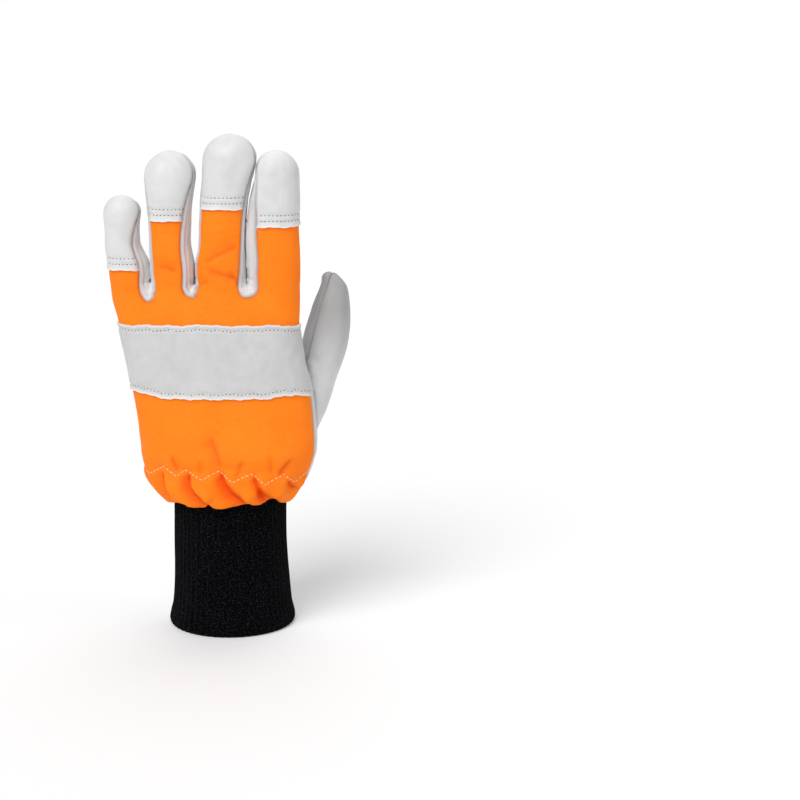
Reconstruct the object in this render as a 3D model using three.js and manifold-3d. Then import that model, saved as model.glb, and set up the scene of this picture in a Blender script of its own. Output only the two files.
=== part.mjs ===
// A left-hand chainsaw work glove that stands on its knitted wrist: fingers up along +Z, the back of the hand
// towards -Y, the thumb towards +X. Lengths are millimetres.
// One hand form is lofted through level rings at several thicknesses. Each cloth or leather panel is a thin
// shell between two of those forms, cut along its seams with a narrow gap to the next panel.
import * as THREE from "three";
import { mergeVertices } from "three/addons/utils/BufferGeometryUtils.js";
import Module from "manifold-3d";

const wasm = await Module();
wasm.setup();

// Walls and clearances
const seamGap = 0.3; // free space between neighbouring panels
const leatherWall = 1.4;
const backWall = 2.2; // cloth over its cut-resistant padding
const knitWall = 2.6;
const bandThickness = 1.2;
const capRaise = 0.8; // how far a fingertip cap stands above the cloth below it

// Knitted wrist
const cuffHeight = 88;
const cuffTuck = 9.5; // how far the knit runs up inside the cloth
const cuffHalfWidth = 34;
const cuffHalfDepth = 32;
const cuffFlare = 4.6; // how far the lower hem spreads
const ribCount = 56;
const ribDepth = 0.45;

// Hand, measured from the hem of the cloth and from the middle of the wrist
const handHeight = 135.5; // hem to the webs between the fingers
const knuckleShift = 11.9; // the knuckles lie off the wrist's middle, away from the thumb
const knuckleBackDepth = 15;
const knucklePalmDepth = 14;
const fingerCurl = 6; // how far the longest fingertip leans to the palm side

// Gathers under the wrist elastic
const elasticHeight = 26; // above the hem
const foldRise = 3.6;
const hemScallop = 2.6;
const hemArch = 3; // the hem climbs this much from the sides to the middle of the back and palm

// Band of leather across the back
const bandHeight = 44;
const bandBelowWeb = 22;

// Fingers, from the thumb's side outwards. root, waist and tip are widths, space the free gap to the next
// finger at the root. waistLean and tipLean are how far those places lie to +X of the root. seamRight and
// seamLeft are the side strips' seams on the back, as shares of half the width. dip is how far the strip
// towards the next finger runs down below the web.
const fingers = [
  { name: "index", root: 31.8, waist: 31.6, tip: 26.4, depth: 25, length: 81.5, cap: 45,
    waistLean: -0.3, tipLean: 1.6, seamRight: 1, seamLeft: 0.58, space: 0.2, dip: 4.6 },
  { name: "middle", root: 31.8, waist: 27.4, tip: 31.4, depth: 26, length: 91, cap: 45,
    waistLean: 1.1, tipLean: 3.9, seamRight: 0.78, seamLeft: 0.9, space: 0.2, dip: 4.6 },
  { name: "ring", root: 26.8, waist: 25, tip: 32, depth: 25, length: 81.5, cap: 43,
    waistLean: -1.4, tipLean: -1.3, seamRight: 0.52, seamLeft: 0.8, space: 0.2, dip: 8 },
  { name: "little", root: 25, waist: 21.4, tip: 22, depth: 20, length: 54.5, cap: 44,
    waistLean: -4, tipLean: -4.6, seamRight: 0.56, seamLeft: 1, space: 0, dip: 0 },
];
const waistRise = 27; // web to the finger's waist

// Thumb
const thumbTop = 136.5; // tip above the hem
const thumbReach = 67.5; // tip to the side of the wrist's middle
const thumbForward = 33; // tip to the palm side of the wrist's middle
const thumbThickness = 30; // across, as seen from the back of the hand
const thumbWidth = 35; // across, as seen from the side
const thumbSeamShare = -0.6; // side seam, as a share of half the thickness from the thumb's middle

const hemZ = cuffHeight - cuffTuck;
const webZ = hemZ + handHeight;
const hemHalfWidth = cuffHalfWidth + seamGap + backWall;
const hemHalfDepth = cuffHalfDepth + seamGap + backWall;
const knuckleWidth = fingers.reduce((sum, f) => sum + f.root + f.space, 0);
const knuckleRight = knuckleWidth / 2 - knuckleShift;
const knuckleLeft = knuckleWidth / 2 + knuckleShift;
const fingerReach = Math.max(...fingers.map((f) => f.length));

// Ring counts and shapes
const gatherSides = 64;
const handSides = 32;
const fingerSides = 14;
const thumbSides = 16;
const handPower = 2.5; // 2 is an ellipse, more is squarer
const fingerPower = 2.25;
const domeTurns = [36, 66]; // degrees up a fingertip's dome

// Knitted wrist: up is a share of cuffHeight, spread a share of cuffFlare.
const cuffSections = [
  { up: 0, spread: 0.86 },
  { up: 0.035, spread: 1 },
  { up: 0.14, spread: 0.55 },
  { up: 0.5, spread: 0.1 },
  { up: 1, spread: 0 },
];

// Hand form: up is a share of handHeight. left, right, back and palm are shares of the way from the hem's
// half size to the knuckles' size on that side. gather is the share of foldRise.
const handSections = [
  { up: 0, left: 0, right: 0, back: 0, palm: 0, gather: 0.5 },
  { up: 0.035, left: 0.12, right: 0.33, back: -0.08, palm: -0.08, gather: 0.85 },
  { up: 0.076, left: 0.27, right: 0.6, back: -0.1, palm: -0.1, gather: 1 },
  { up: 0.116, left: 0.37, right: 0.92, back: -0.03, palm: -0.04, gather: 0.9 },
  { up: 0.156, left: 0.42, right: 1.25, back: 0.07, palm: 0.03, gather: 0.6 },
  { up: 0.188, left: 0.45, right: 1.48, back: 0.14, palm: 0.09, gather: 0.3 },
  { up: 0.232, left: 0.465, right: 1.62, back: 0.13, palm: 0.1, gather: 0.4 },
  { up: 0.29, left: 0.495, right: 1.7, back: 0.24, palm: 0.17, gather: 0.2 },
  { up: 0.377, left: 0.545, right: 1.64, back: 0.38, palm: 0.26, gather: 0 },
  { up: 0.5, left: 0.615, right: 1.5, back: 0.51, palm: 0.32, gather: 0 },
  { up: 0.68, left: 0.735, right: 1.14, back: 0.64, palm: 0.46, gather: 0 },
  { up: 0.84, left: 0.865, right: 0.95, back: 0.79, palm: 0.7, gather: 0 },
  { up: 0.957, left: 0.97, right: 0.95, back: 1.02, palm: 1, gather: 0 },
  { up: 1, left: 0.93, right: 0.8, back: 1.42, palm: 1.36, gather: 0 },
];
const gatherSectionCount = 6; // sections that carry the finer ring

// Gathers round the wrist: turn is a share of the full turn from +X, rise of foldRise, spread of the full turn,
// and lean is how far the fold drifts round, as a share of the full turn, up to the elastic.
const gatherFolds = [
  { turn: 0.005, rise: 0.5, spread: 0.026, lean: 0.004 },
  { turn: 0.075, rise: 0.8, spread: 0.024, lean: -0.006 },
  { turn: 0.148, rise: 0.9, spread: 0.022, lean: 0.008 },
  { turn: 0.215, rise: 0.7, spread: 0.024, lean: -0.004 },
  { turn: 0.288, rise: 1, spread: 0.023, lean: 0.006 },
  { turn: 0.36, rise: 0.8, spread: 0.022, lean: -0.008 },
  { turn: 0.435, rise: 0.9, spread: 0.025, lean: 0.006 },
  { turn: 0.51, rise: 0.8, spread: 0.024, lean: -0.004 },
  { turn: 0.585, rise: 0.7, spread: 0.023, lean: -0.01 },
  { turn: 0.655, rise: 1, spread: 0.024, lean: -0.014 },
  { turn: 0.728, rise: 0.9, spread: 0.025, lean: -0.012 },
  { turn: 0.806, rise: 1, spread: 0.024, lean: -0.008 },
  { turn: 0.872, rise: 0.8, spread: 0.019, lean: -0.006 },
  { turn: 0.935, rise: 0.9, spread: 0.021, lean: 0.004 },
];

// Finger: up climbs from 0 at the web to 1 at the finger's waist and 2 where its round end starts. waist and tip
// are shares of the way from the root's width and place to theirs, deep is a share of the finger's depth, and
// full scales the hidden root so that it stays in the hand.
const fingerSections = [
  { up: -0.7, waist: 0, tip: 0, deep: 0.95, full: 0.6 },
  { up: -0.25, waist: 0, tip: 0, deep: 1.1, full: 0.97 },
  { up: 0.45, waist: 0.15, tip: 0, deep: 1.1, full: 1 },
  { up: 1, waist: 1, tip: 0, deep: 1.02, full: 1 },
  { up: 1.5, waist: 0.75, tip: 0.25, deep: 1, full: 1 },
  { up: 2, waist: 0, tip: 1, deep: 1, full: 1 },
];

// Side strips between fingers, with up as above. ease is the share of the way from the seam's place on the back
// to the finger's side, and palm the seam's place on the palm as a share of half the width.
const stripSeam = [
  { up: 0, ease: 0, palm: 0.8 },
  { up: 0.5, ease: 0, palm: 0.82 },
  { up: 1.1, ease: 0.12, palm: 0.84 },
  { up: 1.6, ease: 0.4, palm: 0.88 },
  { up: 2, ease: 0.75, palm: 0.94 },
  { up: 2.15, ease: 0.9, palm: 0.97 },
];
const stripFoot = [
  { drop: 1, half: 2.2 }, // drop is a share of the strip's dip below the web
  { drop: 0.5, half: 4.4 },
];

// Thumb: up is a share of the height from the hem to the tip. side and fore are shares of thumbReach and
// thumbForward, thick and wide shares of the thumb's two sizes.
const thumbSections = [
  { up: 0.14, side: 0.47, fore: 0.2, thick: 0.5, wide: 0.45 },
  { up: 0.24, side: 0.54, fore: 0.33, thick: 0.9, wide: 0.8 },
  { up: 0.38, side: 0.655, fore: 0.52, thick: 1.04, wide: 1 },
  { up: 0.5, side: 0.745, fore: 0.68, thick: 1.02, wide: 1 },
  { up: 0.63, side: 0.855, fore: 0.8, thick: 1, wide: 0.97 },
  { up: 0.74, side: 0.905, fore: 0.88, thick: 0.93, wide: 0.94 },
  { up: 0.82, side: 0.935, fore: 0.93, thick: 0.83, wide: 0.9 },
  { up: 0.895, side: 0.958, fore: 0.97, thick: 0.67, wide: 0.79 },
  { up: 0.955, side: 0.982, fore: 0.99, thick: 0.44, wide: 0.56 },
  { up: 0.99, side: 0.995, fore: 1, thick: 0.18, wide: 0.26 },
];

// Seam between back and palm at each outer side: y is a share of the hem's half depth, negative to the back.
const sideSeam = [
  { up: -0.3, left: 0.08, right: -0.2 },
  { up: 0.2, left: 0.08, right: -0.2 },
  { up: 0.5, left: 0.06, right: -0.12 },
  { up: 0.78, left: 0.03, right: 0.02 },
  { up: 1, left: 0.03, right: 0.06 },
];

const mix = (a, b, share) => a + (b - a) * share;

// The value of one column at a place in a table whose rows climb in the key column.
function readTable(rows, key, column, at) {
  const next = rows.findIndex((row) => row[key] >= at);
  if (next === 0) return rows[0][column];
  if (next < 0) return rows[rows.length - 1][column];
  const [low, high] = [rows[next - 1], rows[next]];
  return mix(low[column], high[column], (at - low[key]) / (high[key] - low[key]));
}

// A point on a superellipse that may reach a different distance to each side of its middle.
function ovalPoint(turn, reach, power) {
  const [c, s] = [Math.cos(turn), Math.sin(turn)];
  const bend = (v) => Math.sign(v) * Math.abs(v) ** (2 / power);
  return [bend(c) * (c > 0 ? reach.right : reach.left), bend(s) * (s > 0 ? reach.palm : reach.back)];
}

function solidFrom(geometry) {
  const bare = geometry.index ? geometry.toNonIndexed() : geometry.clone();
  bare.deleteAttribute("normal");
  bare.deleteAttribute("uv");
  const merged = mergeVertices(bare, 1e-4);
  const vertProperties = new Float32Array(merged.attributes.position.array);
  return new wasm.Manifold(new wasm.Mesh({ numProp: 3, vertProperties, triVerts: new Uint32Array(merged.index.array) }));
}

// A closed solid through rings of points, lowest first. A ring has as many points as the one below, or half.
function loft(rings) {
  const points = rings.flat();
  const starts = [];
  rings.reduce((start, ring) => {
    starts.push(start);
    return start + ring.length;
  }, 0);
  const faces = [];
  for (let r = 0; r + 1 < rings.length; r++) {
    const [low, high] = [starts[r], starts[r + 1]];
    const [lowCount, highCount] = [rings[r].length, rings[r + 1].length];
    const halved = lowCount > highCount;
    for (let i = 0; i < highCount; i++) {
      const [h0, h1] = [high + i, high + ((i + 1) % highCount)];
      if (halved) {
        const [l0, l1, l2] = [low + 2 * i, low + 2 * i + 1, low + ((2 * i + 2) % lowCount)];
        faces.push([l0, l1, h0], [l1, h1, h0], [l1, l2, h1]);
      } else {
        const [l0, l1] = [low + i, low + ((i + 1) % lowCount)];
        faces.push([l0, l1, h1], [l0, h1, h0]);
      }
    }
  }
  const middle = (ring) => [0, 1, 2].map((axis) => ring.reduce((sum, p) => sum + p[axis], 0) / ring.length);
  const closeEnd = (ring, start, up) => {
    const hub = points.push(middle(ring)) - 1;
    ring.forEach((_, i) => {
      const [a, b] = [start + i, start + ((i + 1) % ring.length)];
      faces.push(up ? [a, b, hub] : [b, a, hub]);
    });
  };
  closeEnd(rings[0], starts[0], false);
  closeEnd(rings[rings.length - 1], starts[starts.length - 1], true);
  const geometry = new THREE.BufferGeometry();
  geometry.setAttribute("position", new THREE.Float32BufferAttribute(points.flat(), 3));
  geometry.setIndex(faces.flat());
  return solidFrom(geometry);
}

// How far the gathers push the cloth out at a turn, as a share of foldRise.
function foldAt(turnShare, climb) {
  return gatherFolds.reduce((sum, fold) => {
    const away = turnShare - fold.turn - fold.lean * climb;
    const nearest = away - Math.round(away);
    return sum + fold.rise * Math.exp(-((nearest / fold.spread) ** 2));
  }, 0);
}

// The palm and wrist of the hand, grown by the given thickness. Below the hem it runs straight down when it is
// the inside of a wall, so that the glove stays open there.
function handForm(grow) {
  const rings = handSections.map((row, index) => {
    const sides = index < gatherSectionCount ? gatherSides : handSides;
    const reach = {
      left: mix(hemHalfWidth, knuckleLeft, row.left) + grow,
      right: mix(hemHalfWidth, knuckleRight, row.right) + grow,
      back: mix(hemHalfDepth, knuckleBackDepth, row.back) + grow,
      palm: mix(hemHalfDepth, knucklePalmDepth, row.palm) + grow,
    };
    const top = index === handSections.length - 1 ? grow : 0;
    return Array.from({ length: sides }, (_, i) => {
      const turn = (i / sides) * 2 * Math.PI;
      const [x, y] = ovalPoint(turn, reach, mix(2, handPower, Math.min(1, row.up / 0.2)));
      const fold = foldAt(i / sides, (row.up * handHeight) / elasticHeight);
      const push = (row.gather * foldRise * fold) / Math.hypot(x, y);
      const hemLift = hemArch * Math.sin(turn) ** 2 + hemScallop * Math.max(0, 1 - fold);
      const lift = hemLift * Math.max(0, 1 - index / 3);
      return [x * (1 + push), y * (1 + push), hemZ + row.up * handHeight + top + lift];
    });
  });
  if (grow < 0) rings.unshift(rings[0].map(([x, y]) => [x, y, hemZ - cuffTuck]));
  return loft(rings);
}

// Each finger's root, worked out from the widths and spaces that come before it.
fingers.reduce((edge, finger) => {
  finger.rootX = edge - finger.root / 2;
  finger.tipZ = webZ + finger.length;
  finger.domeZ = finger.tipZ - finger.tip / 2;
  return edge - finger.root - finger.space;
}, knuckleRight);
const waistZ = webZ + waistRise;

const curlAt = (z) => fingerCurl * Math.max(0, (z - webZ) / fingerReach) ** 2;

// The height that a section's up stands for, and the other way round
const fingerZ = (finger, up) => (up < 1 ? webZ + up * waistRise : mix(waistZ, finger.domeZ, up - 1));
const fingerUp = (finger, z) => (z < waistZ ? (z - webZ) / waistRise : 1 + (z - waistZ) / (finger.domeZ - waistZ));
const sectionAt = (finger, column, z) => readTable(fingerSections, "up", column, fingerUp(finger, z));

// The middle of a finger and half its width at a height, ignoring its round end
function fingerX(finger, z) {
  return finger.rootX + sectionAt(finger, "waist", z) * finger.waistLean + sectionAt(finger, "tip", z) * finger.tipLean;
}

function fingerHalf(finger, z) {
  const change = (place) => sectionAt(finger, place, z) * (finger[place] - finger.root);
  return (finger.root + change("waist") + change("tip")) / 2;
}

function fingerForm(finger, grow) {
  const ring = (z, halfX, halfY, lift) => {
    const reach = { left: halfX + grow, right: halfX + grow, back: halfY + grow, palm: halfY + grow };
    return Array.from({ length: fingerSides }, (_, i) => {
      const [x, y] = ovalPoint((i / fingerSides) * 2 * Math.PI, reach, fingerPower);
      return [fingerX(finger, z) + x, curlAt(z) + y, z + lift];
    });
  };
  const rings = fingerSections.map((row) => {
    const z = fingerZ(finger, row.up);
    return ring(z, fingerHalf(finger, z) * row.full, (finger.depth / 2) * row.deep * row.full, 0);
  });
  for (const degrees of domeTurns) {
    const angle = THREE.MathUtils.degToRad(degrees);
    const [fall, rise] = [Math.cos(angle), Math.sin(angle)];
    const half = [finger.tip / 2, finger.depth / 2].map((size) => (size + grow) * fall - grow);
    rings.push(ring(mix(finger.domeZ, finger.tipZ, rise), half[0], half[1], grow * rise));
  }
  const last = rings[rings.length - 1];
  const [endX, endY] = [fingerX(finger, finger.tipZ), curlAt(finger.tipZ)];
  rings.push(last.map(([x, y]) => [mix(x, endX, 0.7), mix(y, endY, 0.7), finger.tipZ + grow]));
  return loft(rings);
}

function thumbForm(grow) {
  return loft(
    thumbSections.map((row, index) => {
      const reach = {
        left: (row.thick * thumbThickness) / 2 + grow,
        right: (row.thick * thumbThickness) / 2 + grow,
        back: (row.wide * thumbWidth) / 2 + grow,
        palm: (row.wide * thumbWidth) / 2 + grow,
      };
      const top = index === thumbSections.length - 1 ? grow : 0;
      return Array.from({ length: thumbSides }, (_, i) => {
        const [x, y] = ovalPoint((i / thumbSides) * 2 * Math.PI, reach, fingerPower);
        return [row.side * thumbReach + x, row.fore * thumbForward + y, hemZ + row.up * thumbTop + top];
      });
    }),
  );
}

const joined = (solids) => solids.reduce((whole, next) => whole.add(next));
const gloveForm = (grow) => joined([handForm(grow), ...fingers.map((finger) => fingerForm(finger, grow))]);

// The room a cutter needs to pass right through the glove.
const farX = knuckleLeft + thumbReach;
const farY = hemHalfDepth + thumbForward + thumbWidth;
const farZ = webZ + fingerReach + cuffHeight;

// A prism whose outline is drawn as [x, z] points from the back, right through the glove or between two depths
function prismFromBack(outline, fromY = -farY, toY = farY) {
  const shape = new THREE.Shape(outline.map(([x, z]) => new THREE.Vector2(x, z)));
  const geometry = new THREE.ExtrudeGeometry(shape, { depth: toY - fromY, bevelEnabled: false });
  geometry.rotateX(Math.PI / 2);
  geometry.translate(0, toY, 0);
  return solidFrom(geometry);
}

// Everything on the back's side of the outer seams, grown over the seam by the given distance.
function backSide(grow) {
  const stops = [...sideSeam.map((row) => row.up * handHeight + hemZ)];
  for (let step = 1; step <= 4; step++) stops.push(webZ + (fingerReach + cuffHeight) * (step / 4));
  return loft(
    stops.map((z) => {
      const seamY = (side) => curlAt(z) + readTable(sideSeam, "up", side, (z - hemZ) / handHeight) * hemHalfDepth + grow;
      return [
        [-farX, -farY, z],
        [farX, -farY, z],
        [farX, seamY("right"), z],
        [-farX, seamY("left"), z],
      ];
    }),
  );
}

// The outline of the strip between two neighbouring fingers, moved out over its seams by the given distance.
// seamShare gives the seam's place on a finger as a share of half its width, from a row of stripSeam.
function stripOutline(right, left, grow, seamShare) {
  const seamPoints = (finger, toward) =>
    stripSeam.map((row) => {
      const z = fingerZ(finger, row.up);
      return [fingerX(finger, z) + toward * (seamShare(finger, toward, row) * fingerHalf(finger, z) - grow), z];
    });
  const middleX = (z) => {
    const [rightEdge, leftEdge] = [fingerX(right, z) - fingerHalf(right, z), fingerX(left, z) + fingerHalf(left, z)];
    return (rightEdge + leftEdge) / 2;
  };
  const [rightSeam, leftSeam] = [seamPoints(right, -1), seamPoints(left, 1)];
  const [rightTop, leftTop] = [rightSeam.at(-1)[1], leftSeam.at(-1)[1]];
  const footX = (rightSeam[0][0] + leftSeam[0][0]) / 2;
  const foot = stripFoot.map((row) => [row.half + grow, webZ - row.drop * right.dip - grow * row.drop]);
  return [
    ...foot.map(([half, z]) => [footX + half, z]),
    ...rightSeam,
    [rightSeam.at(-1)[0], rightTop + grow],
    [middleX(rightTop), rightTop + grow],
    [middleX(leftTop), leftTop + grow],
    [leftSeam.at(-1)[0], leftTop + grow],
    ...leftSeam.reverse(),
    ...foot.reverse().map(([half, z]) => [footX - half, z]),
  ];
}

// A strip's cutter follows one pair of seams on the back and another on the palm.
function stripCutter({ right, left }, grow) {
  const middleY = fingerCurl / 2;
  const onBack = (finger, toward, row) => mix(toward < 0 ? finger.seamLeft : finger.seamRight, 1, row.ease);
  const onPalm = (finger, toward, row) => row.palm;
  const backPart = prismFromBack(stripOutline(right, left, grow, onBack), -farY, middleY);
  return backPart.add(prismFromBack(stripOutline(right, left, grow, onPalm), middleY, farY));
}

// Seam down the thumb's side, as a prism that holds what lies nearer the palm.
function thumbPalmSide(grow) {
  const seam = thumbSections.map((row) => [
    row.side * thumbReach + (thumbSeamShare * row.thick * thumbThickness) / 2 + grow,
    hemZ + row.up * thumbTop,
  ]);
  return prismFromBack([[-farX, 0], [seam[0][0], 0], ...seam, [seam.at(-1)[0], farZ], [-farX, farZ]]);
}

// The largest body of a cut, which drops any crumb that a cut leaves beside it.
function mainBody(solid) {
  return solid.decompose().sort((a, b) => b.volume() - a.volume())[0];
}

const halfGap = seamGap / 2;
const outer = gloveForm(0);
const insideLeather = gloveForm(-leatherWall);
const insideBack = gloveForm(-backWall);
const neighbours = fingers.slice(1).map((left, i) => ({ right: fingers[i], left }));
const stripCuts = neighbours.map((pair) => stripCutter(pair, halfGap));
const thumbHollow = thumbForm(-leatherWall);
const backHalf = backSide(-halfGap);
const backHalfPlus = backSide(halfGap);

const capSlab = (finger, fromZ) => {
  const [left, right] = [fingerX(finger, fromZ) - finger.tip, fingerX(finger, fromZ) + finger.tip];
  return prismFromBack([[left, fromZ], [right, fromZ], [right, farZ], [left, farZ]]);
};
const cutAll = (solid, cutters) => cutters.reduce((left, cutter) => left.subtract(cutter), solid);

function makeBackPanel() {
  const capSpaces = fingers.map((f) => capSlab(f, f.tipZ - f.cap - halfGap).intersect(fingerForm(f, capRaise + seamGap)));
  return cutAll(outer.subtract(insideBack).intersect(backHalf), [...stripCuts, ...capSpaces]);
}

function makePalmPanel() {
  return cutAll(outer.subtract(insideLeather).subtract(backHalfPlus), [...stripCuts, thumbHollow]);
}

function makeCap(finger) {
  const shell = fingerForm(finger, capRaise).subtract(fingerForm(finger, -leatherWall));
  return cutAll(shell.intersect(capSlab(finger, finger.tipZ - finger.cap + halfGap)).intersect(backHalf), stripCuts);
}

function makeStrip(pair) {
  return outer.subtract(insideLeather).intersect(stripCutter(pair, -halfGap));
}

function makeBand() {
  const top = webZ - bandBelowWeb;
  const slab = prismFromBack([[-farX, top - bandHeight], [farX, top - bandHeight], [farX, top], [-farX, top]]);
  return handForm(seamGap + bandThickness).subtract(handForm(seamGap)).intersect(slab).intersect(backHalf);
}

const thumbShell = thumbForm(0).subtract(thumbHollow).subtract(gloveForm(seamGap));
const makeThumbPalm = () => thumbShell.intersect(thumbPalmSide(-halfGap));
const makeThumbBack = () => thumbShell.subtract(thumbPalmSide(halfGap));

// Knitted wrist with vertical ribs outside and a plain inside
function makeCuff() {
  const sides = 2 * ribCount;
  const ringAt = (row, grow, rib) =>
    Array.from({ length: sides }, (_, i) => {
      const wave = i % 2 ? rib : 0;
      const reachX = cuffHalfWidth + row.spread * cuffFlare + grow - wave;
      const reachY = cuffHalfDepth + row.spread * cuffFlare + grow - wave;
      const reach = { left: reachX, right: reachX, back: reachY, palm: reachY };
      const [x, y] = ovalPoint((i / sides) * 2 * Math.PI, reach, 2);
      return [x, y, row.up * cuffHeight];
    });
  const outside = loft(cuffSections.map((row) => ringAt(row, 0, ribDepth)));
  const bore = cuffSections.map((row) => ringAt(row, -knitWall, 0).filter((_, i) => i % 4 === 0));
  const past = (ring, by) => ring.map(([x, y, z]) => [x, y, z + by]);
  return outside.subtract(loft([past(bore[0], -knitWall), ...bore, past(bore.at(-1), knitWall)]));
}

const whiteLeather = { color: 0xdcdcda, roughness: 0.55, metalness: 0 };
const orangeCloth = { color: 0xff7a1a, roughness: 0.8, metalness: 0 };
const blackKnit = { color: 0x0c0d10, roughness: 0.95, metalness: 0 };

function meshOf(name, solid, finish) {
  const { vertProperties, triVerts } = mainBody(solid).getMesh();
  const geometry = new THREE.BufferGeometry();
  geometry.setAttribute("position", new THREE.BufferAttribute(new Float32Array(vertProperties), 3));
  geometry.setIndex(new THREE.BufferAttribute(new Uint32Array(triVerts), 1));
  geometry.computeVertexNormals();
  const mesh = new THREE.Mesh(geometry, new THREE.MeshStandardMaterial(finish));
  mesh.name = name;
  return mesh;
}

const glove = new THREE.Group();
glove.add(
  meshOf("knit_cuff", makeCuff(), blackKnit),
  meshOf("back_panel", makeBackPanel(), orangeCloth),
  meshOf("knuckle_band", makeBand(), whiteLeather),
  meshOf("palm_panel", makePalmPanel(), whiteLeather),
  meshOf("thumb_back", makeThumbBack(), whiteLeather),
  meshOf("thumb_palm", makeThumbPalm(), whiteLeather),
);
for (const finger of fingers) glove.add(meshOf(`cap_${finger.name}`, makeCap(finger), whiteLeather));
for (const pair of neighbours) {
  glove.add(meshOf(`side_strip_${pair.right.name}_${pair.left.name}`, makeStrip(pair), whiteLeather));
}

// The origin is the middle of the glove's footprint, on the surface that it stands on.
const extent = new THREE.Box3().setFromObject(glove);
glove.position.set(-(extent.min.x + extent.max.x) / 2, -(extent.min.y + extent.max.y) / 2, -extent.min.z);

export default glove;
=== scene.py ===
import math

import bmesh
import bpy
import numpy as np
from mathutils import Matrix, Vector, noise
from mathutils.bvhtree import BVHTree
from mathutils.kdtree import KDTree


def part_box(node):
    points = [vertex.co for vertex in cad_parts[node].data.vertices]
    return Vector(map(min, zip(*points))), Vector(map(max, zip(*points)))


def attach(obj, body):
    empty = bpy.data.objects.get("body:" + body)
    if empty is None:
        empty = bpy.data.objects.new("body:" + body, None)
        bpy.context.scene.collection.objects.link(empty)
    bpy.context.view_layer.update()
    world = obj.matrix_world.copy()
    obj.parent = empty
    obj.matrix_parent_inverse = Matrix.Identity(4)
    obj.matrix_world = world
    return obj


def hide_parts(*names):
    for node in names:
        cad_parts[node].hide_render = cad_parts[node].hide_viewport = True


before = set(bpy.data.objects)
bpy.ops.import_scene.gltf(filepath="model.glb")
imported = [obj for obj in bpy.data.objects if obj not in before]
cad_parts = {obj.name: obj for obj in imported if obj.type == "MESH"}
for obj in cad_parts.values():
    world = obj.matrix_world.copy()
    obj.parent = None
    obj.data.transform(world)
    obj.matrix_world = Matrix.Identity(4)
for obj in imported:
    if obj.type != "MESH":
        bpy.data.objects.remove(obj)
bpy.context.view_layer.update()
print("glove: frame loaded")

# The glove is modelled in millimetres round the middle of its cuff and put in the frame's metres at the end:
# +X is the thumb's side, -Y the back of the hand, +Z the fingertips.
mm = 0.001
cuffLow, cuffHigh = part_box("knit_cuff")
cuffMiddle = Vector(((cuffLow.x + cuffHigh.x) / 2, (cuffLow.y + cuffHigh.y) / 2, 0))

hand = {
    "hemZ": 78.5,
    "height": 135.5,  # hem to the webs between the fingers
    "hemHalfWidth": 36.5,
    "hemHalfDepth": 34.5,
    "knuckleLeft": 69.9,
    "knuckleRight": 46.1,
    "knuckleBack": 15,
    "knucklePalm": 14,
    "curl": 6,  # how far the longest fingertip leans to the palm side
    "waistRise": 27,
    "power": 2.5,
    "fingerPower": 2.25,
    "sideY": 1.5,  # the side seams of the fingers lie this far to the palm side of their middles
}
webZ = hand["hemZ"] + hand["height"]


def rowsOf(columns, *rows):  # a table as one dictionary a row, with its columns named once
    return [dict(zip(columns.split(), row)) for row in rows]


handSections = rowsOf(
    "up left right back palm gather",
    (0, 0, 0, 0, 0, 0.5),
    (0.035, 0.12, 0.48, -0.08, -0.08, 0.85),
    (0.076, 0.27, 0.84, -0.1, -0.1, 1),
    (0.116, 0.37, 1.18, -0.03, -0.04, 0.9),
    (0.156, 0.42, 1.51, 0.07, 0.03, 0.6),
    (0.188, 0.45, 1.75, 0.14, 0.09, 0.3),
    (0.232, 0.465, 1.89, 0.13, 0.1, 0.4),
    (0.29, 0.495, 1.96, 0.24, 0.17, 0.2),
    (0.377, 0.545, 1.87, 0.38, 0.26, 0),
    (0.5, 0.615, 1.66, 0.51, 0.32, 0),
    (0.68, 0.735, 1.2, 0.64, 0.46, 0),
    (0.84, 0.865, 0.95, 0.79, 0.7, 0),
    (0.957, 0.97, 0.95, 1.02, 1, 0),
    (1, 0.93, 0.8, 1.42, 1.36, 0),
)

# Lengths run from the web. seamLeft and seamRight are the places of a finger's side seams on the back, as
# shares of half its width, and seamHold moves the left one in. apart is undone once the form is made.
fingers = [
    {"name": "index", "root": 32.6, "waist": 33.6, "tip": 26, "depth": 25, "length": 80.6, "cap": 44.1,
     "waistLean": -0.8, "tipLean": 2.2, "seamRight": 1, "seamLeft": 0.56, "seamHold": 0.14,
     "space": -0.6, "dip": 5.5, "apart": 3.8},
    {"name": "middle", "root": 31.8, "waist": 28.6, "tip": 32.4, "depth": 26, "length": 90, "cap": 43,
     "waistLean": 1.5, "tipLean": 6.2, "seamRight": 0.72, "seamLeft": 0.9, "seamHold": 0,
     "space": 0.2, "dip": 5.5, "apart": 0.2},
    {"name": "ring", "root": 26.8, "waist": 25, "tip": 31.4, "depth": 25, "length": 80.3, "cap": 40.2,
     "waistLean": -1.4, "tipLean": -0.6, "seamRight": 0.52, "seamLeft": 0.8, "seamHold": 0,
     "space": 0.2, "dip": 8, "apart": -1.4},
    {"name": "little", "root": 25, "waist": 20.4, "tip": 22, "depth": 20, "length": 53.9, "cap": 43.4,
     "waistLean": -3.5, "tipLean": -3.6, "seamRight": 0.56, "seamLeft": 1, "seamHold": 0,
     "space": 0, "dip": 0, "apart": -2.6},
]

# up is 0 at the web, 1 at the finger's waist and 2 where its round end starts
fingerSections = rowsOf(
    "up waist tip deep full",
    (-0.7, 0, 0, 0.95, 0.6),
    (-0.25, 0, 0, 1.1, 0.97),
    (0.45, 0.15, 0, 1.1, 1),
    (1, 1, 0, 1.02, 1),
    (1.5, 0.75, 0.25, 1, 1),
    (2, 0, 1, 1, 1),
)

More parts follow.
